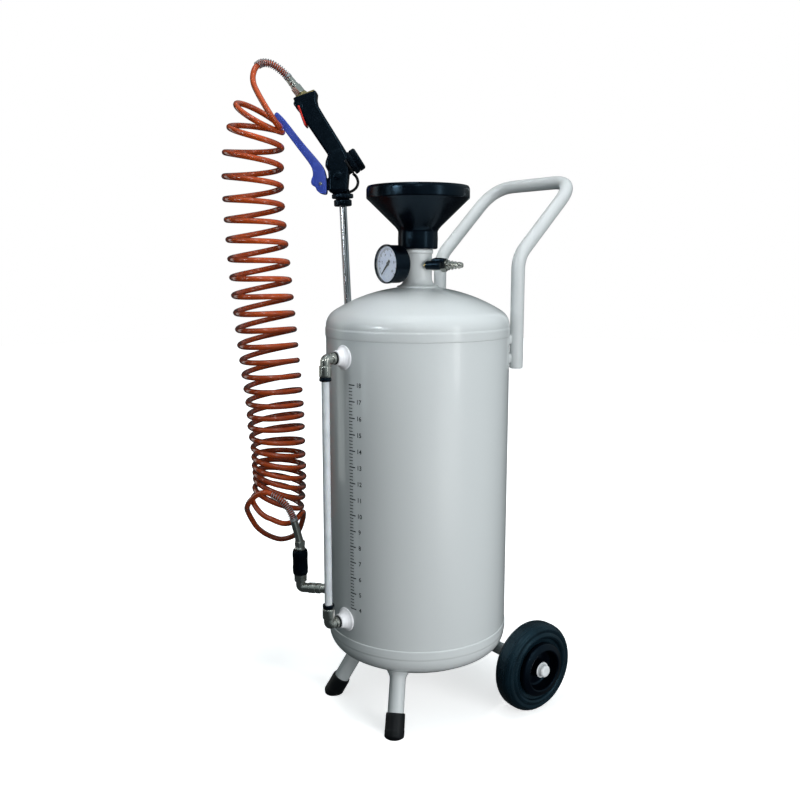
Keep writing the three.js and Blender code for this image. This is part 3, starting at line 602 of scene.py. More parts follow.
def coil_line():
    line = []
    count = round((COIL_END - COIL_START) * STEPS_A_TURN)
    for i in range(count + 1):
        turns = COIL_START + i / STEPS_A_TURN
        x, y, z, width, tilt, lean = coil_row(turns)
        radius = width / 2 - HOSE_R
        turn = pi - TAU * turns
        aside = radius * cos(turn)
        behind = -radius * sin(turn)
        line.append(Vector((x + aside, y + behind, z - tilt * aside + lean * behind)))
    return line


def line_length(line):
    return sum((b - a).length for a, b in zip(line, line[1:]))


def part_of(line, start, end):
    """The stretch of a line between two lengths along it."""
    out = []
    run = 0
    for a, b in zip(line, line[1:]):
        if start <= run <= end:
            out.append(a)
        run += (b - a).length
    return out


def spring(name, line, radius, wire, pitch):
    """Round wire wound about a line, in the gun's frame."""
    turns = line_length(line) / pitch
    placed = list(frames_along(smooth_line(line, 6)))
    steps = int(turns * 14)
    path = []
    for i in range(steps + 1):
        where = i / steps * (len(placed) - 1)
        k = min(int(where), len(placed) - 2)
        point, side, other = [a.lerp(b, where - k) for a, b in zip(placed[k], placed[k + 1])]
        turn = TAU * turns * i / steps
        path.append(point + (side * cos(turn) + other * sin(turn)) * radius)
    return sweep(name, path, wire, GUN, 8)


def lead(foot, way, start, points):
    """Line straight out of a ferrule and on through the points, up to the last but one."""
    bits = 8
    out = [foot + way * k for k in (start, TAIL, TAIL + 4)]
    return smooth_line([*out, *points], bits)[:-bits]


def make_hose():
    coil = coil_line()
    upper = lead(INLET_FOOT, INLET_WAY, 21, [*UPPER_ROUTE, coil[0], coil[2]])
    lower = lead(LOWER_TAIL, LOWER_WAY, 5, [*LOWER_ROUTE, coil[-1], coil[-3]])
    line = upper + coil[1:-1] + lower[::-1]
    route = [GUN @ (p * MM) for p in line]
    hose = sweep("spray_hose", [p / MM for p in route], HOSE_R, WORLD, 20)
    stands_for(hose, "hose", "hose_coil", "hose_upper_lead", "hose_lower_lead")
    with_it = []
    for end, stretch, skip in (("upper", upper, 10), ("lower", lower, 26)):
        wound = part_of(stretch, skip, skip + GUARD)
        coil_spring = spring(f"spring_guard_{end}", wound, GUARD_R - WIRE_R, WIRE_R, GUARD_PITCH)
        stands_for(coil_spring, "steel", f"hose_guard_{end}").data.materials[0] = WIRE
        with_it.append(coil_spring)
    with_it += make_ferrules()
    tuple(route[0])


def make_ferrules():
    inlet = GUN @ towards(INLET_FOOT, INLET_WAY)
    nut = hexagon("ferrule_nut_upper", 8.6, 4.3, 16, inlet)
    tail = lathe("ferrule_tail_upper", soften([
        (0, 15), (6.2, 15), (6.2, 19), (5.5, 20.5), (5.5, 22), (5.9, 23.5), (5.6, 25), (5.3, TAIL),
        (4.2, TAIL), (4.2, 22), (0, 22)], 0.6), inlet)
    upper = stands_for(joined("ferrule_upper", [nut, tail]), "nickel", "hose_ferrule_upper")
    stem = GUN @ at(COUPLER_AT.x, COUPLER_AT.y, 0)
    collar = lathe("ferrule_collar", soften([
        (0, 195.5), (5.5, 195.5), (5.5, 209.9), (7.9, 209.9), (7.9, 212.5), (6.9, 213.5),
        (6.9, 215), (0, 215)], 0.5), stem)
    nut = hexagon("ferrule_nut_lower", 8, 215, 222.5, stem)
    line = [LOWER_TAIL + LOWER_WAY * k - Vector((0, 0, 3)) * max(0, 1 - k / 8) for k in
            (0, 3, 6, 9, 12, 16, 20, 24, 28, TAIL)]
    tail = sweep("ferrule_tail_lower", line, [6, 6, 5.6, 5.4, 5.4, 5.4, 5.5, 5.5, 5.4, 5.2], GUN)
    lower = stands_for(joined("ferrule_lower", [collar, nut, tail]), "nickel", "hose_ferrule_lower")
    return [upper, lower]


make_hose()


# ---- tank ----
KNUCKLE_DROP = sqrt((CROWN_R - KNUCKLE_R) ** 2 - (TANK_R - KNUCKLE_R) ** 2)
HEAD_RISE = CROWN_R - KNUCKLE_DROP
JOIN = asin((TANK_R - KNUCKLE_R) / (CROWN_R - KNUCKLE_R))


def dish(inset, inner):
    """[radius, height] points of a dished head from its seam in to the radius `inner`."""
    points = []
    for i in range(13):
        turn = i / 12 * (pi / 2 - JOIN)
        points.append((TANK_R - KNUCKLE_R + (KNUCKLE_R - inset) * cos(turn),
                       (KNUCKLE_R - inset) * sin(turn)))
    end = asin(inner / (CROWN_R - inset))
    for i in range(1, 25):
        turn = JOIN + i / 24 * (end - JOIN)
        points.append(((CROWN_R - inset) * sin(turn),
                       (CROWN_R - inset) * cos(turn) - KNUCKLE_DROP))
    return points


def head(name, hole, place):
    """Dished head with its skirt and the rolled seam between them."""
    proud = TANK_R + SKIRT_PROUD
    inside = TANK_R - WALL
    skirt = [(inside, -SKIRT - 0.2), (TANK_R + 0.1, -SKIRT - 0.2), (proud - 0.1, -SKIRT + 0.9),
             (proud, -SKIRT + 2.4), (proud, -2.2), (proud - 0.35, -0.9), (TANK_R + 0.05, 0.3)]
    outside = [p for p in dish(0, hole) if p[1] > 1.2]
    return lathe(name, [*soften(skirt, 0.5), *outside, *dish(WALL, hole)[::-1]], place, 192)


def make_tank():
    top = SEAM_TOP - SKIRT
    low = SEAM_LOW + SKIRT
    shell = tube("shell", TANK_R, TANK_R - WALL, low - 0.3, top + 0.3, TANK, 0.4, 192)
    stands_for(shell, "paint", "tank_shell")
    stands_for(head("upper_head", NECK_R, TANK @ at(0, 0, SEAM_TOP)), "paint", "tank_upper_head")
    lower = head("lower_head", 0, TANK @ at(0, 0, SEAM_LOW) @ UPSIDE_DOWN)
    stands_for(lower, "paint", "tank_lower_head")


def make_neck():
    foot = SEAM_TOP + HEAD_RISE
    flare = [(27.5 - 8.5 * sin(pi / 2 * i / 8),
              foot + 0.6 + 11 * (1 - cos(pi / 2 * i / 8))) for i in range(9)]
    profile = soften([
        (NECK_R, foot - 8), (NECK_R, foot - 3), (28.6, foot - 2.4), (28.4, foot - 0.6), *flare,
        (NECK_R, 633), (20.5, 633.8), (20.5, 638.4), (NECK_R, 639.2), (NECK_R, NECK_TOP),
        (NECK_BORE, NECK_TOP), (NECK_BORE, foot - 8)], 0.7)
    stands_for(lathe("neck", profile, TANK, 128), "paint", "filler_neck")
    bowl = soften([
        (26.5, 639.3), (26.9, 652), (26.5, 663), (30, 668), (66.6, 703.4), (69.1, 705.4),
        (69.1, 718), (67.2, 721.6), (65.6, 721.2), (65.4, 707.6), (62, 704.4), (24.5, 668),
        (21.6, 664), (21.6, 655.6), (19.4, 655.6), (19.4, 639.3)], 2.2, 6)
    stands_for(lathe("funnel_bowl", bowl, TANK, 160), "black_plastic", "funnel")


def make_plug():
    seal = tube("plug_washer", 18.8, 16.1, 655.3, 657, TANK, 0.6)
    stands_for(seal, "rubber", "plug_seal")
    body = lathe("plug_body", soften([
        (0, 641), (14.2, 641), (15.4, 642.5), (15.4, 657.3), (20.4, 657.3), (20.4, 661.4),
        (12, 663.4), (9, 666), (9, 683), (7.5, 684.6), (0, 684.6)], 1), TANK)
    wing = plate("plug_wing", soften([
        (-16.5, 661), (-15, 680), (-9, 686), (9, 686), (15, 680), (16.5, 661)], 5), 3.6, TANK, 1.4)
    plug = joined("plug_with_wing", [body, wing], 0.6)
    stands_for(plug, "black_plastic", "filler_plug")


make_tank()
make_neck()
make_plug()


# ---- pressure gauge ----
GAUGE = facing(-90, GAUGE_Z) @ OUTWARD
GAUGE_SWEEP = 270
GAUGE_FROM = 225
DIAL_FRONT = 50.15


def bar_mark(low, high, width, angle, place, lift=0.12):
    """Thin printed stroke along a radius, between two radii."""
    way = Vector(polar(1, angle))
    side = Vector((-way.y, way.x, 0)) * width / 2
    points = []
    for z in (0, lift):
        base = Vector((0, 0, place + z))
        points += [way * low - side + base, way * high - side + base,
                   way * high + side + base, way * low + side + base]
    return points, prism_faces(4)


def figures(text, size, extrude=0.06, bold=0.0):
    """Mesh of a few digits, centred on its own origin, facing +Z, in metres."""
    data = bpy.data.curves.new("digits", "FONT")
    data.body = text
    data.size = size * MM
    data.extrude = extrude * MM
    data.offset = bold * MM
    data.align_x = "CENTER"
    data.align_y = "CENTER"
    obj = link("digits", data, WORLD)
    bpy.context.view_layer.update()
    graph = bpy.context.evaluated_depsgraph_get()
    mesh = bpy.data.meshes.new_from_object(obj.evaluated_get(graph))
    bpy.data.objects.remove(obj)
    return mesh


def dial_angle(part):
    """Where the dial's mark stands after that part of its sweep."""
    return radians(GAUGE_FROM - GAUGE_SWEEP * part)


def dial_marks():
    marks = []
    for i in range(51):
        angle = dial_angle(i / 50)
        inner = 16.8 if i % 5 == 0 else 18.4
        width = 0.75 if i % 5 == 0 else 0.4
        marks.append(shape("mark", *bar_mark(inner, 21, width, angle, DIAL_FRONT), GAUGE))
    for i in range(6):
        angle = dial_angle(i / 5)
        spot = at(*polar(13, angle, DIAL_FRONT + 0.06))
        marks.append(link("mark", figures(str(2 * i), 4.6), GAUGE @ spot))
    return joined("dial_marks", marks)


def make_gauge():
    below = GAUGE @ at(0, -1.5, 0)
    stem = hexagon("stem_hex", 8.5, 20.8, 28.4, below)
    thread = rod("stem_thread", 4.9, STUB_FROM, 29, below, 0.4)
    stands_for(joined("gauge_connector", [stem, thread]), "nickel", "gauge_stem")
    case = soften([(0, 29), (20.6, 29), (23.4, 30.4), (24.8, 33), (24.8, 50.2), (24.2, 50.2),
                   (24.2, 31.5), (0, 31.5)], 1.6)
    stands_for(lathe("gauge_cup", case, GAUGE), "black_plastic", "gauge_case")
    bezel = soften([(25.6, 50.4), (25.6, 53.6), (24.9, 54.6), (24, 54.6), (23.8, 53.5),
                    (24.4, 53.5), (24.4, 50.4)], 0.5)
    stands_for(lathe("gauge_rim", bezel, GAUGE), "black_plastic", "gauge_bezel")
    lens = soften([(0, 52), (24.1, 52), (24.1, 52.8), (12, 53.3), (0, 53.4)], 0.3)
    stands_for(lathe("gauge_glass", lens, GAUGE), "lens", "gauge_lens")
    card = soften([(1.4, 49.2), (24, 49.2), (24, 50.1), (1.4, 50.1)], 0.2)
    stands_for(lathe("gauge_card", card, GAUGE), "dial", "gauge_dial")
    goes_with(dial_marks(), "dial").data.materials[0] = PRINT
    band = [shape("band", *bar_mark(21.3, 22.4, 2.5, dial_angle(i / 50), DIAL_FRONT), GAUGE)
            for i in range(40, 51)]
    goes_with(joined("dial_red_band", band), "dial").data.materials[0] = RED_PRINT
    rest = GAUGE @ turn_z(GAUGE_FROM)
    hand = soften([(-6.5, -1.9), (3, -1.5), (18.5, -0.3), (18.5, 0.3), (3, 1.5), (-6.5, 1.9)], 0.5)
    points = [(x, y, z) for z in (50.8, 51.3) for x, y in hand]
    hub = lathe("needle_hub", soften([(0, 44), (1, 44), (1, 50.4), (2.6, 50.5), (2.6, 51.4),
                                      (1.4, 51.8), (0, 51.8)], 0.3), rest, 48)
    needle = joined("gauge_hand", [shape("hand", points, prism_faces(len(hand)), rest), hub])
    stands_for(needle, "needle", "gauge_needle")


make_gauge()


# ---- air inlet and safety valve ----
def make_inlet():
    inlet = facing(30, PORT_Z)
    out = inlet @ OUTWARD
    body = lathe("inlet_turned", soften([
        (0, STUB_FROM), (4.9, STUB_FROM), (4.9, 20.2), (6.2, 20.2), (7, 21.4), (7, 31), (6.2, 32),
        (6.2, 34.4), (0, 34.4)], 0.6), out)
    collar = hexagon("inlet_hex", 9, 34, 42, out)
    aside = inlet @ towards((27, 0, 0), (0, -1, 0))
    gland = lathe("inlet_gland", soften([(0, 0), (4.5, 0), (4.5, 8.6), (3.8, 9.4), (0, 9.4)], 0.5),
                  aside)
    stands_for(joined("inlet_body", [body, collar, gland]), "nickel", "inlet_valve_body")
    ball_r = 5.1
    arc = [pi * i / 16 for i in range(1, 16)]
    ball = [(0, -ball_r), *[(ball_r * sin(a), -ball_r * cos(a)) for a in arc], (0, ball_r)]
    sphere = lathe("inlet_sphere", ball, inlet @ at(27, 0, 0), 40)
    stem = rod("inlet_stem", 1.9, 0, 12.4, aside, 0.3, 32)
    stands_for(joined("inlet_ball", [sphere, stem]), "nickel", "inlet_valve_ball")
    lever_line = inlet @ at(0, -15, 0) @ OUTWARD
    grip = lathe("inlet_grip", soften([
        (0, 17.2), (4.6, 17.2), (6, 18.6), (6, 36.6), (4.8, 38), (0, 38)], 1), lever_line)
    arm = sweep("inlet_arm", smooth_line([(26, -14.5, 5), (31, -14.5, 6.8), (38, -14.5, 6.7),
                                          (43.4, -14.5, 6)], 6), 3.1, inlet)
    lever = joined("inlet_lever", [grip, arm], 0.45)
    stands_for(lever, "black_plastic", "inlet_valve_lever")
    goes_with(rod("inlet_lever_insert", 3.2, 15.9, 17.6, lever_line, 0.4, 48), "brass", "inlet_valve")
    barbs = soften([
        (6.8, 42.3), (6.8, 45), (4.4, 46.5), (4.4, 47.4), (6.2, 48.6), (5.9, 49.8), (4, 51),
        (4, 52), (5.4, 53.2), (5.1, 54.4), (3.6, 55.6), (3.6, 57), (4.8, 58.2), (3.4, 63),
        (3, 64), (1.8, 64), (1.8, 42.3)], 0.5)
    stands_for(lathe("inlet_barb", barbs, out, 64), "nickel", "inlet_plug")


def make_safety_valve():
    valve = facing(150, PORT_Z)
    out = valve @ OUTWARD
    body = lathe("safety_turned", soften([
        (0, STUB_FROM), (4.9, STUB_FROM), (4.9, 20.2), (7, 20.2), (7, 33.6), (5.5, 35), (5.5, 36),
        (5, 36.6), (5, 37.6), (5.5, 38.2), (5.5, 42), (1.8, 42), (1.8, 34), (0, 34)], 0.5), out)
    collar = hexagon("safety_hex", 9, 21.5, 30, out)
    stands_for(joined("safety_body", [body, collar]), "brass", "safety_valve_body")
    ring_r = 8
    ring_at = 52.6
    ring = [(ring_r * cos(TAU * i / 48) + ring_at, 0, ring_r * sin(TAU * i / 48)) for i in range(49)]
    pull = rod("safety_rod", 1.3, 35, 45, out, 0.3, 32)
    loop = sweep("safety_loop", ring, 1.1, valve, 12)
    stands_for(joined("safety_ring", [pull, loop]), "steel", "safety_valve_ring")


make_inlet()
make_safety_valve()


# ---- handle ----
HANDLE_X = 82
HANDLE_Y = 108
STANDOFF_HEIGHTS = (492, 518)


def make_handle():
    side_line = [(HANDLE_Y, 478), (HANDLE_Y, 629), (217, 735)]
    path = bent([*[(HANDLE_X, y, z) for y, z in side_line],
                 *[(-HANDLE_X, y, z) for y, z in side_line[::-1]]], 42, 16)
    rise = [HANDLE_R - 1.6, HANDLE_R - 0.5, HANDLE_R]
    start = [path[0] + Vector((0, 0, k)) for k in (0, 0.5, 1.8)]
    end = [path[-1] + Vector((0, 0, k)) for k in (1.8, 0.5, 0)]
    full = start + path[1:-1] + end
    radii = rise + [HANDLE_R] * (len(full) - 6) + rise[::-1]
    parts = [sweep("handle_bar", full, radii, TANK, 40)]
    gap = hypot(HANDLE_X, HANDLE_Y) - TANK_R - HANDLE_R
    for side in (-1, 1):
        for z in STANDOFF_HEIGHTS:
            way = Vector((side * HANDLE_X, HANDLE_Y, 0)).normalized()
            start = way * (TANK_R - 1)
            weld = soften([(0, 0), (9.6, 0), (9.4, 1.2), (7.4, 2.6), (6, 4), (5.5, 5.6),
                           (5.6, gap - 4), (6.6, gap - 1), (7.6, gap + 3), (0, gap + 3)], 1)
            place = TANK @ towards((start.x, start.y, z), way)
            parts.append(lathe("standoff", weld, place, 48))
    stands_for(joined("handle_with_standoffs", parts), "paint", "handle_tube")


# ---- legs, axle and wheels ----
FOOT = Vector((75, -97, 0))
LEG_HEAD = Vector((42, -64, 85))


def make_leg(side, name):
    foot = Vector((side * FOOT.x, FOOT.y, 0))
    way = Vector((side * LEG_HEAD.x, LEG_HEAD.y, LEG_HEAD.z)) - foot
    slope = way.length / LEG_HEAD.z
    place = TANK @ towards(foot, way)
    tube_top = 84 * slope
    leg = soften([(0, 7 * slope), (11, 7 * slope), (11, 64 * slope), (12, 67.5 * slope),
                  (15.5, 72.5 * slope), (16.5, 76 * slope), (0, tube_top)], 2.4)
    stands_for(lathe(f"leg_tube_{name}", leg, place, 64), "paint", f"leg_{name}")
    cap = lathe(f"leg_cap_{name}", soften([
        (0, 4 * slope), (0, -6), (9.5, -6), (13.2, -1), (13.4, 7), (13.1, 8.5), (13.1, 23 * slope),
        (12.6, 25.6 * slope), (11.2, 25.8 * slope), (11.2, 5 * slope)], 1.4), place, 64)
    mesh = cap.data
    mesh.transform(place)
    cap.matrix_world = WORLD
    form = bmesh.new()
    form.from_mesh(mesh)
    cut = bmesh.ops.bisect_plane(
        form, geom=[*form.verts, *form.edges, *form.faces], plane_co=(0, 0, 0),
        plane_no=(0, 0, -1), clear_outer=True)
    edges = [e for e in cut["geom_cut"] if isinstance(e, bmesh.types.BMEdge)]
    bmesh.ops.contextual_create(form, geom=edges)
    form.to_mesh(mesh)
    form.free()
    smoothed(mesh)
    stands_for(cap, "rubber", f"foot_cap_{name}")


def make_axle():
    parts = [tube("axle_bar", 9, 4.4, -106.5, 106.5, TANK @ at(0, AXLE_Y, WHEEL_R) @ OUTWARD, 0.8)]
    saddle = [(80.5, 64), (96, 57), (AXLE_Y, 53), (111, 60), (111, 66), (107.5, 88), (100, 85.5),
              (88, 77.5)]
    for side in (-1, 1):
        parts.append(plate("saddle", saddle, 3, TANK @ at(side * 38, 0, 0) @ turn_z(90), 0.8))
    stands_for(joined("axle_with_saddles", parts), "paint", "axle_tube")


def make_wheel(side, name):
    centre = TANK @ at(side * WHEEL_OUT, AXLE_Y, WHEEL_R)
    place = centre @ turn_z(0 if side > 0 else 180) @ OUTWARD
    hub = soften([
        (9, -23), (9, -6), (27, -6), (27, -18), (33, -18), (36.2, -12), (36.2, 12), (37.6, 14.4),
        (37.6, 18.4), (36.6, 20.2), (29.6, 23), (27.9, 22.4), (27.3, 19.5), (26.4, 8), (24, 6),
        (13, 6), (11, 8), (10.4, 16.6), (6.1, 17), (6.1, -23)], 1)
    stands_for(lathe(f"hub_{name}", hub, place), "black_plastic", f"wheel_hub_{name}")
    half = [(36.4, 11.8), (38.4, 12.4), (43, 12.8), (44.6, 16), (47.2, 17.2), (50, 16),
            (51.2, 14.6), (55.4, 15.4), (57.4, 14.6), (58.2, 13.2), (60, 12), (61.6, 9),
            (62.1, 7.2), (61.5, 6.6), (61.5, 5.8), (62.4, 5.2), (WHEEL_R, 2.6)]
    tyre = soften([*half, *[(r, -a) for r, a in reversed(half)]], 0.9)
    stands_for(lathe(f"tyre_ring_{name}", tyre, place, 128), "tyre", f"tyre_{name}")
    shank = lathe("bolt_shank", soften([
        (0, -56), (4, -56), (4, -24), (6, -24), (6, 17.5), (10.8, 17.5), (10.8, 18.9),
        (0, 18.9)], 0.4), place, 64)
    cap = lathe("bolt_cap", soften([(0, 18.9), (9, 18.9), (9, 20.2), (8.4, 20.8), (8.4, 24.2),
                                    (6.8, 26.2), (0, 26.5)], 0.9), place, 64)
    bolt = joined(f"wheel_bolt_capped_{name}", [shank, cap])
    stands_for(bolt, "steel", f"wheel_bolt_{name}").data.materials[0] = ZINC


make_handle()
make_axle()
for SIDE, NAME in ((-1, "left"), (1, "right")):
    make_leg(SIDE, NAME)
    make_wheel(SIDE, NAME)


# ---- level tube and its fittings ----
def make_level():
    level = facing(-88)
    for name, z, down in (("upper", LEVEL_HIGH, -1), ("lower", LEVEL_LOW, 1)):
        place = level @ at(0, 0, z)
        out = place @ OUTWARD
        trumpet = soften([(16.4, 123.2), (16, 125.6), (13.2, 127.2), (11.2, 129.6), (10, 132.6),
                          (9.6, 136.4), (9, 137.4), (5.3, 137.4), (5.3, 123.2)], 0.9, 5)
        stands_for(lathe(f"boss_trumpet_{name}", trumpet, out), "white_plastic",
                   f"level_boss_{name}")
        washer = tube(f"level_washer_{name}", 8.2, 5, 137.3, 139.6, out, 0.8)
        goes_with(washer, "rubber")
        nut = lathe("elbow_nut", soften([(0, 139.4), (7.6, 139.4), (7.6, 143.6), (6.6, 144.4),
                                         (0, 144.4)], 0.5), out)
        path = bent([(140, 0, 0), (LEVEL_OUT, 0, 0), (LEVEL_OUT, 0, down * 10)], 5, 8)
        pipe = sweep("elbow_pipe", path, 6.5, place, 40)
        up = place @ at(LEVEL_OUT, 0, 0)
        if down < 0:
            up = up @ UPSIDE_DOWN
        socket = lathe("elbow_socket", soften([
            (0, 8.4), (7, 8.4), (8, 9.8), (8, 21.6), (7.4, 23), (5.2, 23), (5.2, 12), (0, 12)], 0.6),
            up)
        elbow = joined(f"elbow_{name}", [nut, pipe, socket])
        stands_for(elbow, "nickel", f"level_elbow_{name}")
        collar = soften([(5.3, 23.2), (7.4, 23.2), (7.4, 24.4), (7.8, 25), (7.8, 27.8),
                         (7.2, 28.4), (5.3, 28.4)], 0.5)
        stands_for(lathe(f"release_ring_{name}", collar, up), "black_plastic",
                   f"level_collar_{name}")
    between = level @ at(LEVEL_OUT, 0, 0)
    sight = tube("sight_tube", 5, 3.8, LEVEL_LOW + 13, LEVEL_HIGH - 13, between, 0.3, 64)
    stands_for(sight, "level_tube", "level_tube")


SCALE_TOP = 467.4
SCALE_STEP = 21.45
SCALE_LABELS = 15
FIRST_LABEL = 18
TICK_FROM = -83
LABEL_AT = -75
PRINT_LIFT = 0.06


def wrapped(obj, angle):
    """Bends a flat print, drawn in XZ and as deep as -Y, onto the tank's wall."""
    for v in obj.data.vertices:
        turn = radians(angle) + v.co.x / (TANK_R * MM)
        r = TANK_R * MM - v.co.y
        v.co = polar(r, turn, v.co.z)
    return obj


def make_scale():
    ticks = []
    for i in range((SCALE_LABELS - 1) * 5 + 1):
        z = SCALE_TOP - i * SCALE_STEP / 5
        length = 10.6 if i % 5 == 0 else 6.4
        width = 1.5 if i % 5 == 0 else 1.1
        points = [(x, y, z + h) for x in (0, length / 2, length) for y in (0, -PRINT_LIFT)
                  for h in (-width / 2, width / 2)]
        faces = [(0, 1, 3, 2), (8, 9, 11, 10), (0, 1, 5, 4), (4, 5, 9, 8), (2, 3, 7, 6),
                 (6, 7, 11, 10), (0, 2, 6, 4), (4, 6, 10, 8), (1, 3, 7, 5), (5, 7, 11, 9)]
        ticks.append(wrapped(shape("tick", points, faces), TICK_FROM))
    labels = []
    for i in range(SCALE_LABELS):
        mesh = figures(str(FIRST_LABEL - i), 8.2, PRINT_LIFT / 2, 0.16)
        mesh.transform(at(0, -PRINT_LIFT / 2, SCALE_TOP - i * SCALE_STEP) @ UPRIGHT)
        labels.append(wrapped(link("label", mesh, WORLD), LABEL_AT))
    scale = joined("litre_scale", ticks + labels)
    scale.matrix_world = TANK
    goes_with(scale, "needle").data.materials[0] = PRINT


make_level()
make_scale()


# ---- outlet and quick coupler ----
def make_outlet():
    place = facing(-135, OUTLET_Z)
    out = place @ OUTWARD
    boss = soften([(13, 123.4), (12.6, 125), (10.4, 126.6), (10, 128), (10, 131.6), (9.4, 132.5),
                   (5.3, 132.5), (5.3, 123.4)], 0.7)
    stands_for(lathe("outlet_stub", boss, out), "white_plastic", "outlet_boss")
    goes_with(tube("outlet_washer", 7.8, 4.9, 132.4, 134.6, out, 0.8), "rubber")
    nut = lathe("outlet_nut", soften([
        (0, 134.4), (6.8, 134.4), (6.8, 140.6), (7.2, 141), (7.6, 142), (7.6, 147), (7, 147.6),
        (7, 148.6), (7.6, 149.2), (7.6, 158), (6.6, 160), (0, 160)], 0.5), out)
    pipe = sweep("outlet_pipe", bent([(158, 0, 0), (OUTLET_OUT, 0, 0), (OUTLET_OUT, 0, 9.7)], 5, 8),
                 6.9, place, 40)
    stands_for(joined("outlet_elbow_bent", [nut, pipe]), "nickel", "outlet_elbow")
    up = facing(-135) @ at(OUTLET_OUT, 0, 0)
    body = soften([(3, 162), (8.4, 162), (9, 163), (9, 206), (5.9, 206), (5.9, 194), (3, 192)], 0.6)
    stands_for(lathe("coupler_core", body, up), "nickel", "coupler_body")
    sleeve = soften([(9.3, 172.6), (9.9, 172.8), (10.9, 175.4), (11.3, 182), (10.8, 188),
                     (10.8, 196), (11.2, 201), (10.9, 207), (10, 209.6), (9.35, 209.6)], 1.2)
    grip = lathe("coupler_grip", sleeve, up, 120, (30, 0.35, 10.5))
    stands_for(grip, "black_plastic", "coupler_sleeve")


make_outlet()


# ---- lance and its holders ----
NUT_LOW = 702.4
LANCE_X = -1.9
LEAN = radians(2.3)
LANCE = GUN @ at(LANCE_X, 0, NUT_LOW) @ Matrix.Rotation(-LEAN, 4, "Y")


def make_holder(node, low, high, floor):
    """Sleeve round the lance between two heights, closed below by a floor, on a web to the tank."""
    a, b = low - NUT_LOW, high - NUT_LOW
    foot = [(0, a), (10, a), (10, b), (7.5, b), (7.5, a + 3), (0, a + 3)]
    through = [(10, a), (10, b), (7.5, b), (7.5, a)]
    sleeve = lathe("sleeve", soften(foot if floor else through, 0.8), LANCE, 64)
    tank_at = GUN.inverted() @ TANK @ Vector((0, 0, 0)) / MM
    x = LANCE_X + (NUT_LOW - (low + high) / 2) * tan(LEAN)
    gap = Vector((tank_at.x - x, tank_at.y, 0))
    turn = degrees(atan2(gap.y, gap.x))
    reach = gap.length - TANK_R + 1
    web = plate("web", soften([(8.6, low), (reach, low), (reach, high), (8.6, high)], 1), 6,
                GUN @ at(x, 0, 0) @ turn_z(turn), 1)
    stands_for(joined(f"{node}_welded", [sleeve, web]), "paint", node)


def make_lance():
    make_holder("lance_guide", 455, 485, False)
    make_holder("lance_cup", 288, 325, True)
    tip = 300 - NUT_LOW
    pipe = soften([
        (1, tip), (4, tip), (6.3, tip + 4), (6.3, tip + 15.6), (5.3, tip + 17), (5.3, 11.6),
        (3.6, 11.6), (3.6, tip + 16), (1, tip + 12)], 0.6)
    stands_for(lathe("lance_pipe", pipe, LANCE), "steel", "lance_tube")
    nut = soften([
        (5.8, -0.4), (11.8, -0.4), (12.9, 0.8), (12.9, 7.4), (12, 8.6), (9.8, 9.2), (9.8, 10.4),
        (14.8, 10.6), (15.6, 11.4), (15.6, 15.8), (14.8, 16.6), (5.8, 16.6)], 0.7)
    stands_for(lathe("lance_collar", nut, LANCE, 120, (24, 0.5, 12.2)), "black_plastic", "lance_nut")


make_lance()


# ---- spray gun ----
CAP_WAY = Vector((0.8396, 0, 0.5432))
CAP = GUN @ towards((3, 0, 757), CAP_WAY)
LATCH = (-62, 838.5)
PIVOT = (-33, 733)


def across(name, spot, radius, half, edge=0.6):
    """Round pin or boss straight through the gun."""
    return rod(name, radius, -half, half, GUN @ at(spot[0], 0, spot[1]) @ UPRIGHT, edge, 48)


def make_gun_body():
    grip = [(-12, 760), (-21.6, 772.1), (-37, 794.4), (-51.7, 815.8), (-60, 829), (-64, 837.5),
            (-69.2, 840.6), (-70, 844.2), (-67.6, 846.4), (-70.6, 849.4), (-68, 851.6),
            (-38.2, 861), (-36.4, 858), (-37.4, 850), (-36, 842.3), (-28, 829), (-12, 803.6),
            (3.2, 779.4)]
    block = [(5.5, 720.7), (6.2, 732), (7.4, 744), (9, 762), (6, 775), (0, 784), (-20, 778),
             (-25.4, 764), (-26, 757), (-22, 750), (-21.4, 736), (-22, 720.7)]
    parts = [
        plate("grip", grip, 12, GUN, 4.6, 6),
        plate("block", block, 14, GUN, 4, 6),
        plate("lug", [(-38, 726), (-38, 740), (-20, 742), (-20, 724)], 4, GUN, 1.4),
        across("latch_boss", LATCH, 4.6, 12.8, 0.8),
        across("side_screw_boss", (-8, 744), 4.8, 14.6, 0.6),
        rod("port", 12, -8, 15, CAP, 0.8, 64),
        lathe("neck_ring", soften([(0, 715.6), (11.4, 715.6), (12.6, 719), (12.6, 724), (0, 724)], 1),
              GUN @ at(-5, 0, 2.4), 64),
    ]
    body = joined("gun_moulding", parts, 0.7)
    stands_for(body, "black_plastic", "gun_body")


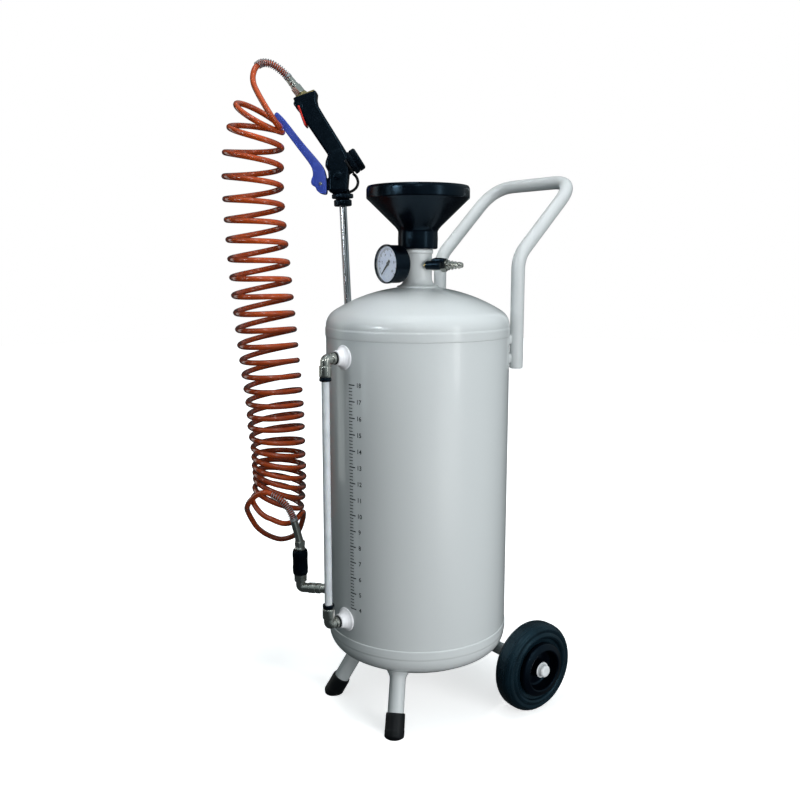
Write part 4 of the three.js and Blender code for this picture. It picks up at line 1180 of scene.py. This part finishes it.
def make_gun():
    make_gun_body()
    inlet = GUN @ towards(INLET_FOOT, INLET_WAY)
    disc = lathe("inlet_disc", soften([
        (0, -1), (8.5, -1), (8.5, 3), (7.4, 4.2), (0, 4.2)], 0.7), inlet)
    cover = plate("end_cover", soften([
        (-67.2, 848.6), (-66.6, 853.4), (-40, 862.4), (-38.6, 857.4)], 1.5), 9.6, GUN, 1.2)
    stands_for(joined("gun_end_plate", [disc, cover]), "brass", "gun_inlet")
    lever = smooth_outline([
        (-97.4, 829), (-92.5, 820), (-86.1, 810.3), (-66, 783.4), (-47.6, 758.9), (-44.6, 752),
        (-44.2, 744), (-46.6, 738.4), (-46, 732), (-41, 728.6), (-38.4, 723.4), (-33, 719.6),
        (-25.6, 719.2), (-24.6, 728), (-25.6, 745), (-29.4, 756.4), (-35.5, 764.6), (-60, 793),
        (-91.4, 830.6), (-95.4, 831.6)])
    handle = joined("squeeze_lever", [plate("lever", lever, 9, GUN, 4.6, 6)])
    stands_for(handle, "blue_plastic", "gun_lever")
    stands_for(across("lever_pivot", PIVOT, 2.4, 10.4), "steel", "lever_pin")
    x, z = LATCH
    wire = bent([(x, -9, z), (x, -14.2, z), (-53.3, -14.2, 814),
                 (-53.3, 14.2, 814), (x, 14.2, z), (x, 9, z)], 2, 6)
    stands_for(sweep("latch_bail", wire, 1.55, GUN, 16), "red_wire", "gun_latch")
    cap = soften([(0, 18), (12.4, 18), (12.4, 7), (15.4, 7), (16.5, 8.2), (16.5, 13), (15.6, 13.8),
                  (15.6, 14.8), (16.5, 15.6), (16.5, 22), (14.4, 24), (6, 24), (5, 23.2), (0, 23.2)],
                 0.9)
    stands_for(lathe("port_cap", cap, CAP, 144, (36, 0.6, 16)), "black_plastic", "gun_cap")
    eye = tube("strap_eye", 15.8, 12.3, 3, 5.8, CAP, 0.8)
    loop = smooth_line([(13, 0, 748), (17.6, 0, 743.4), (20, 0, 736.5), (18.6, 0, 730),
                        (14.6, 0, 725.4), (9, 0, 722.4), (4, 0, 721)], 10)
    band = sweep("strap_band", loop, 1.7, GUN, 16, 1.6)
    stands_for(joined("cap_strap", [eye, band]), "rubber", "gun_strap")


def smooth_outline(points):
    """Closed outline rounded into one flowing curve."""
    turned = [points[-1], *points, points[0]]
    flowing = smooth_line([(x, 0, z) for x, z in turned], 4)
    return [(p.x, p.z) for p in flowing[4:-4]][:-1]


make_gun()


# ---- floor, light and background ----


FLOOR_RINGS = (800, 1600, 3000, 6000)


def make_floor():
    """Pale disc that the part casts a faint shadow on, brighter towards its rim."""
    sides = 64
    points = [(0, 0, 0)]
    for r in FLOOR_RINGS:
        points += [polar(r, TAU * i / sides) for i in range(sides)]
    faces = [(0, 1 + i, 1 + (i + 1) % sides) for i in range(sides)]
    for k in range(len(FLOOR_RINGS) - 1):
        a = 1 + k * sides
        b = a + sides
        faces += [(a + i, b + i, b + (i + 1) % sides, a + (i + 1) % sides) for i in range(sides)]
    floor = shape("floor", points, faces, Matrix.Translation((0, 0, -0.0002)))
    f = Finish("pale_floor", Roughness=0.75, Base_Color=(0.9, 0.9, 0.9, 1),
               Emission_Color=(1, 1, 1, 1))
    far = add_node(f.tree, "VectorMath", {0: f.place}, operation="LENGTH").outputs["Value"]
    f.feed(map_range(f.tree, far, (0.3, 1.3), (0.62, 1)), "Emission Strength")
    floor.data.materials.append(f.material)
    floor.visible_diffuse = False
    floor.visible_glossy = False


# Metres and watts: name, how far to the camera's right and back, distance from the tank's axis,
# height, width and height of the light, power, and what differs from a plain soft box.
NO_GLARE = {"glare": False}
LIGHTS = [
    ("key", 0.62, 0.8, 1.75, 0.38, (0.9, 1.5), 23.5, {"aim_at": 0.3, **NO_GLARE}),
    ("overhead", -0.1, 0.2, 0.12, 2.0, (0.55, 0.55), 18, NO_GLARE),
    ("low", 0.4, 0.9, 1.1, 0.14, (0.8, 0.3), 2, {"aim_at": 0.1, **NO_GLARE}),
    ("streak", 0.75, 0.7, 1.75, 0.9, (0.25, 1.1), 2.4, {}),
    ("front", 0.02, 1, 1.6, 1.25, (0.12, 0.3), 1.3, {}),
    ("top", -0.15, 0.5, 0.7, 1.9, (0.3, 0.3), 1.1, {}),
    ("left", -1, 0.45, 1.6, 0.9, (0.2, 1.4), 1.2, {"tint": (0.85, 0.97, 1)}),
    ("rim", -1, -0.3, 1.5, 0.6, (0.4, 1.3), 1.8, {"tint": (0.93, 1, 0.97)}),
    ("dial", -1, 0.9, 1.2, 0.95, (0.2, 0.2), 0.1,
     {"tint": (0.88, 0.95, 1), "aim_at": 0.66, "spread": 24}),
]


def softbox(name, right, back, distance, height, size, power, tint=(1, 1, 1), aim_at=0.42,
            spread=180, glare=True):
    """Area light aimed at a height of the tank's axis. With no glare, nothing mirrors it."""
    data = bpy.data.lights.new(name, "AREA")
    data.shape = "RECTANGLE"
    data.size, data.size_y = size
    data.energy = power
    data.color = tint
    data.spread = radians(spread)
    way = (RIGHT * right + BACK * back).normalized()
    spot = Vector((AXIS.x, AXIS.y, height)) + way * distance
    aim = Vector((AXIS.x, AXIS.y, aim_at)) - spot
    turn = aim.to_track_quat("-Z", "Y").to_matrix().to_4x4()
    light = link(name, data, Matrix.Translation(spot) @ turn)
    light.visible_glossy = glare


def make_studio():
    """White behind the part, and round it a dim cool light that grows upwards and to the right."""
    world = bpy.data.worlds.new("studio")
    world.use_nodes = True
    bpy.context.scene.world = world
    tree = world.node_tree
    tree.nodes.clear()
    rise = add_node(tree, "VectorMath", {
        0: add_node(tree, "TexCoord", {}).outputs["Generated"],
        1: (RIGHT * 0.55 + BACK * 0.25 + Vector((0, 0, 0.8))).normalized(),
    }, operation="DOT_PRODUCT").outputs["Value"]
    glow = map_range(tree, rise, (0, 0.7), (0.04, 0.42))
    lit = add_node(tree, "Background", {"Color": (0.78, 0.95, 1, 1), "Strength": glow})
    seen = add_node(tree, "Background", {"Color": (1, 1, 1, 1)})
    mix = add_node(tree, "MixShader", {
        "Fac": add_node(tree, "LightPath", {}).outputs["Is Camera Ray"],
        1: lit.outputs["Background"],
        2: seen.outputs["Background"],
    })
    add_node(tree, "OutputWorld", {"Surface": mix.outputs["Shader"]})
    for *row, extra in LIGHTS:
        softbox(*row, **extra)
    bpy.context.scene.view_settings.view_transform = "Standard"


make_floor()
make_studio()
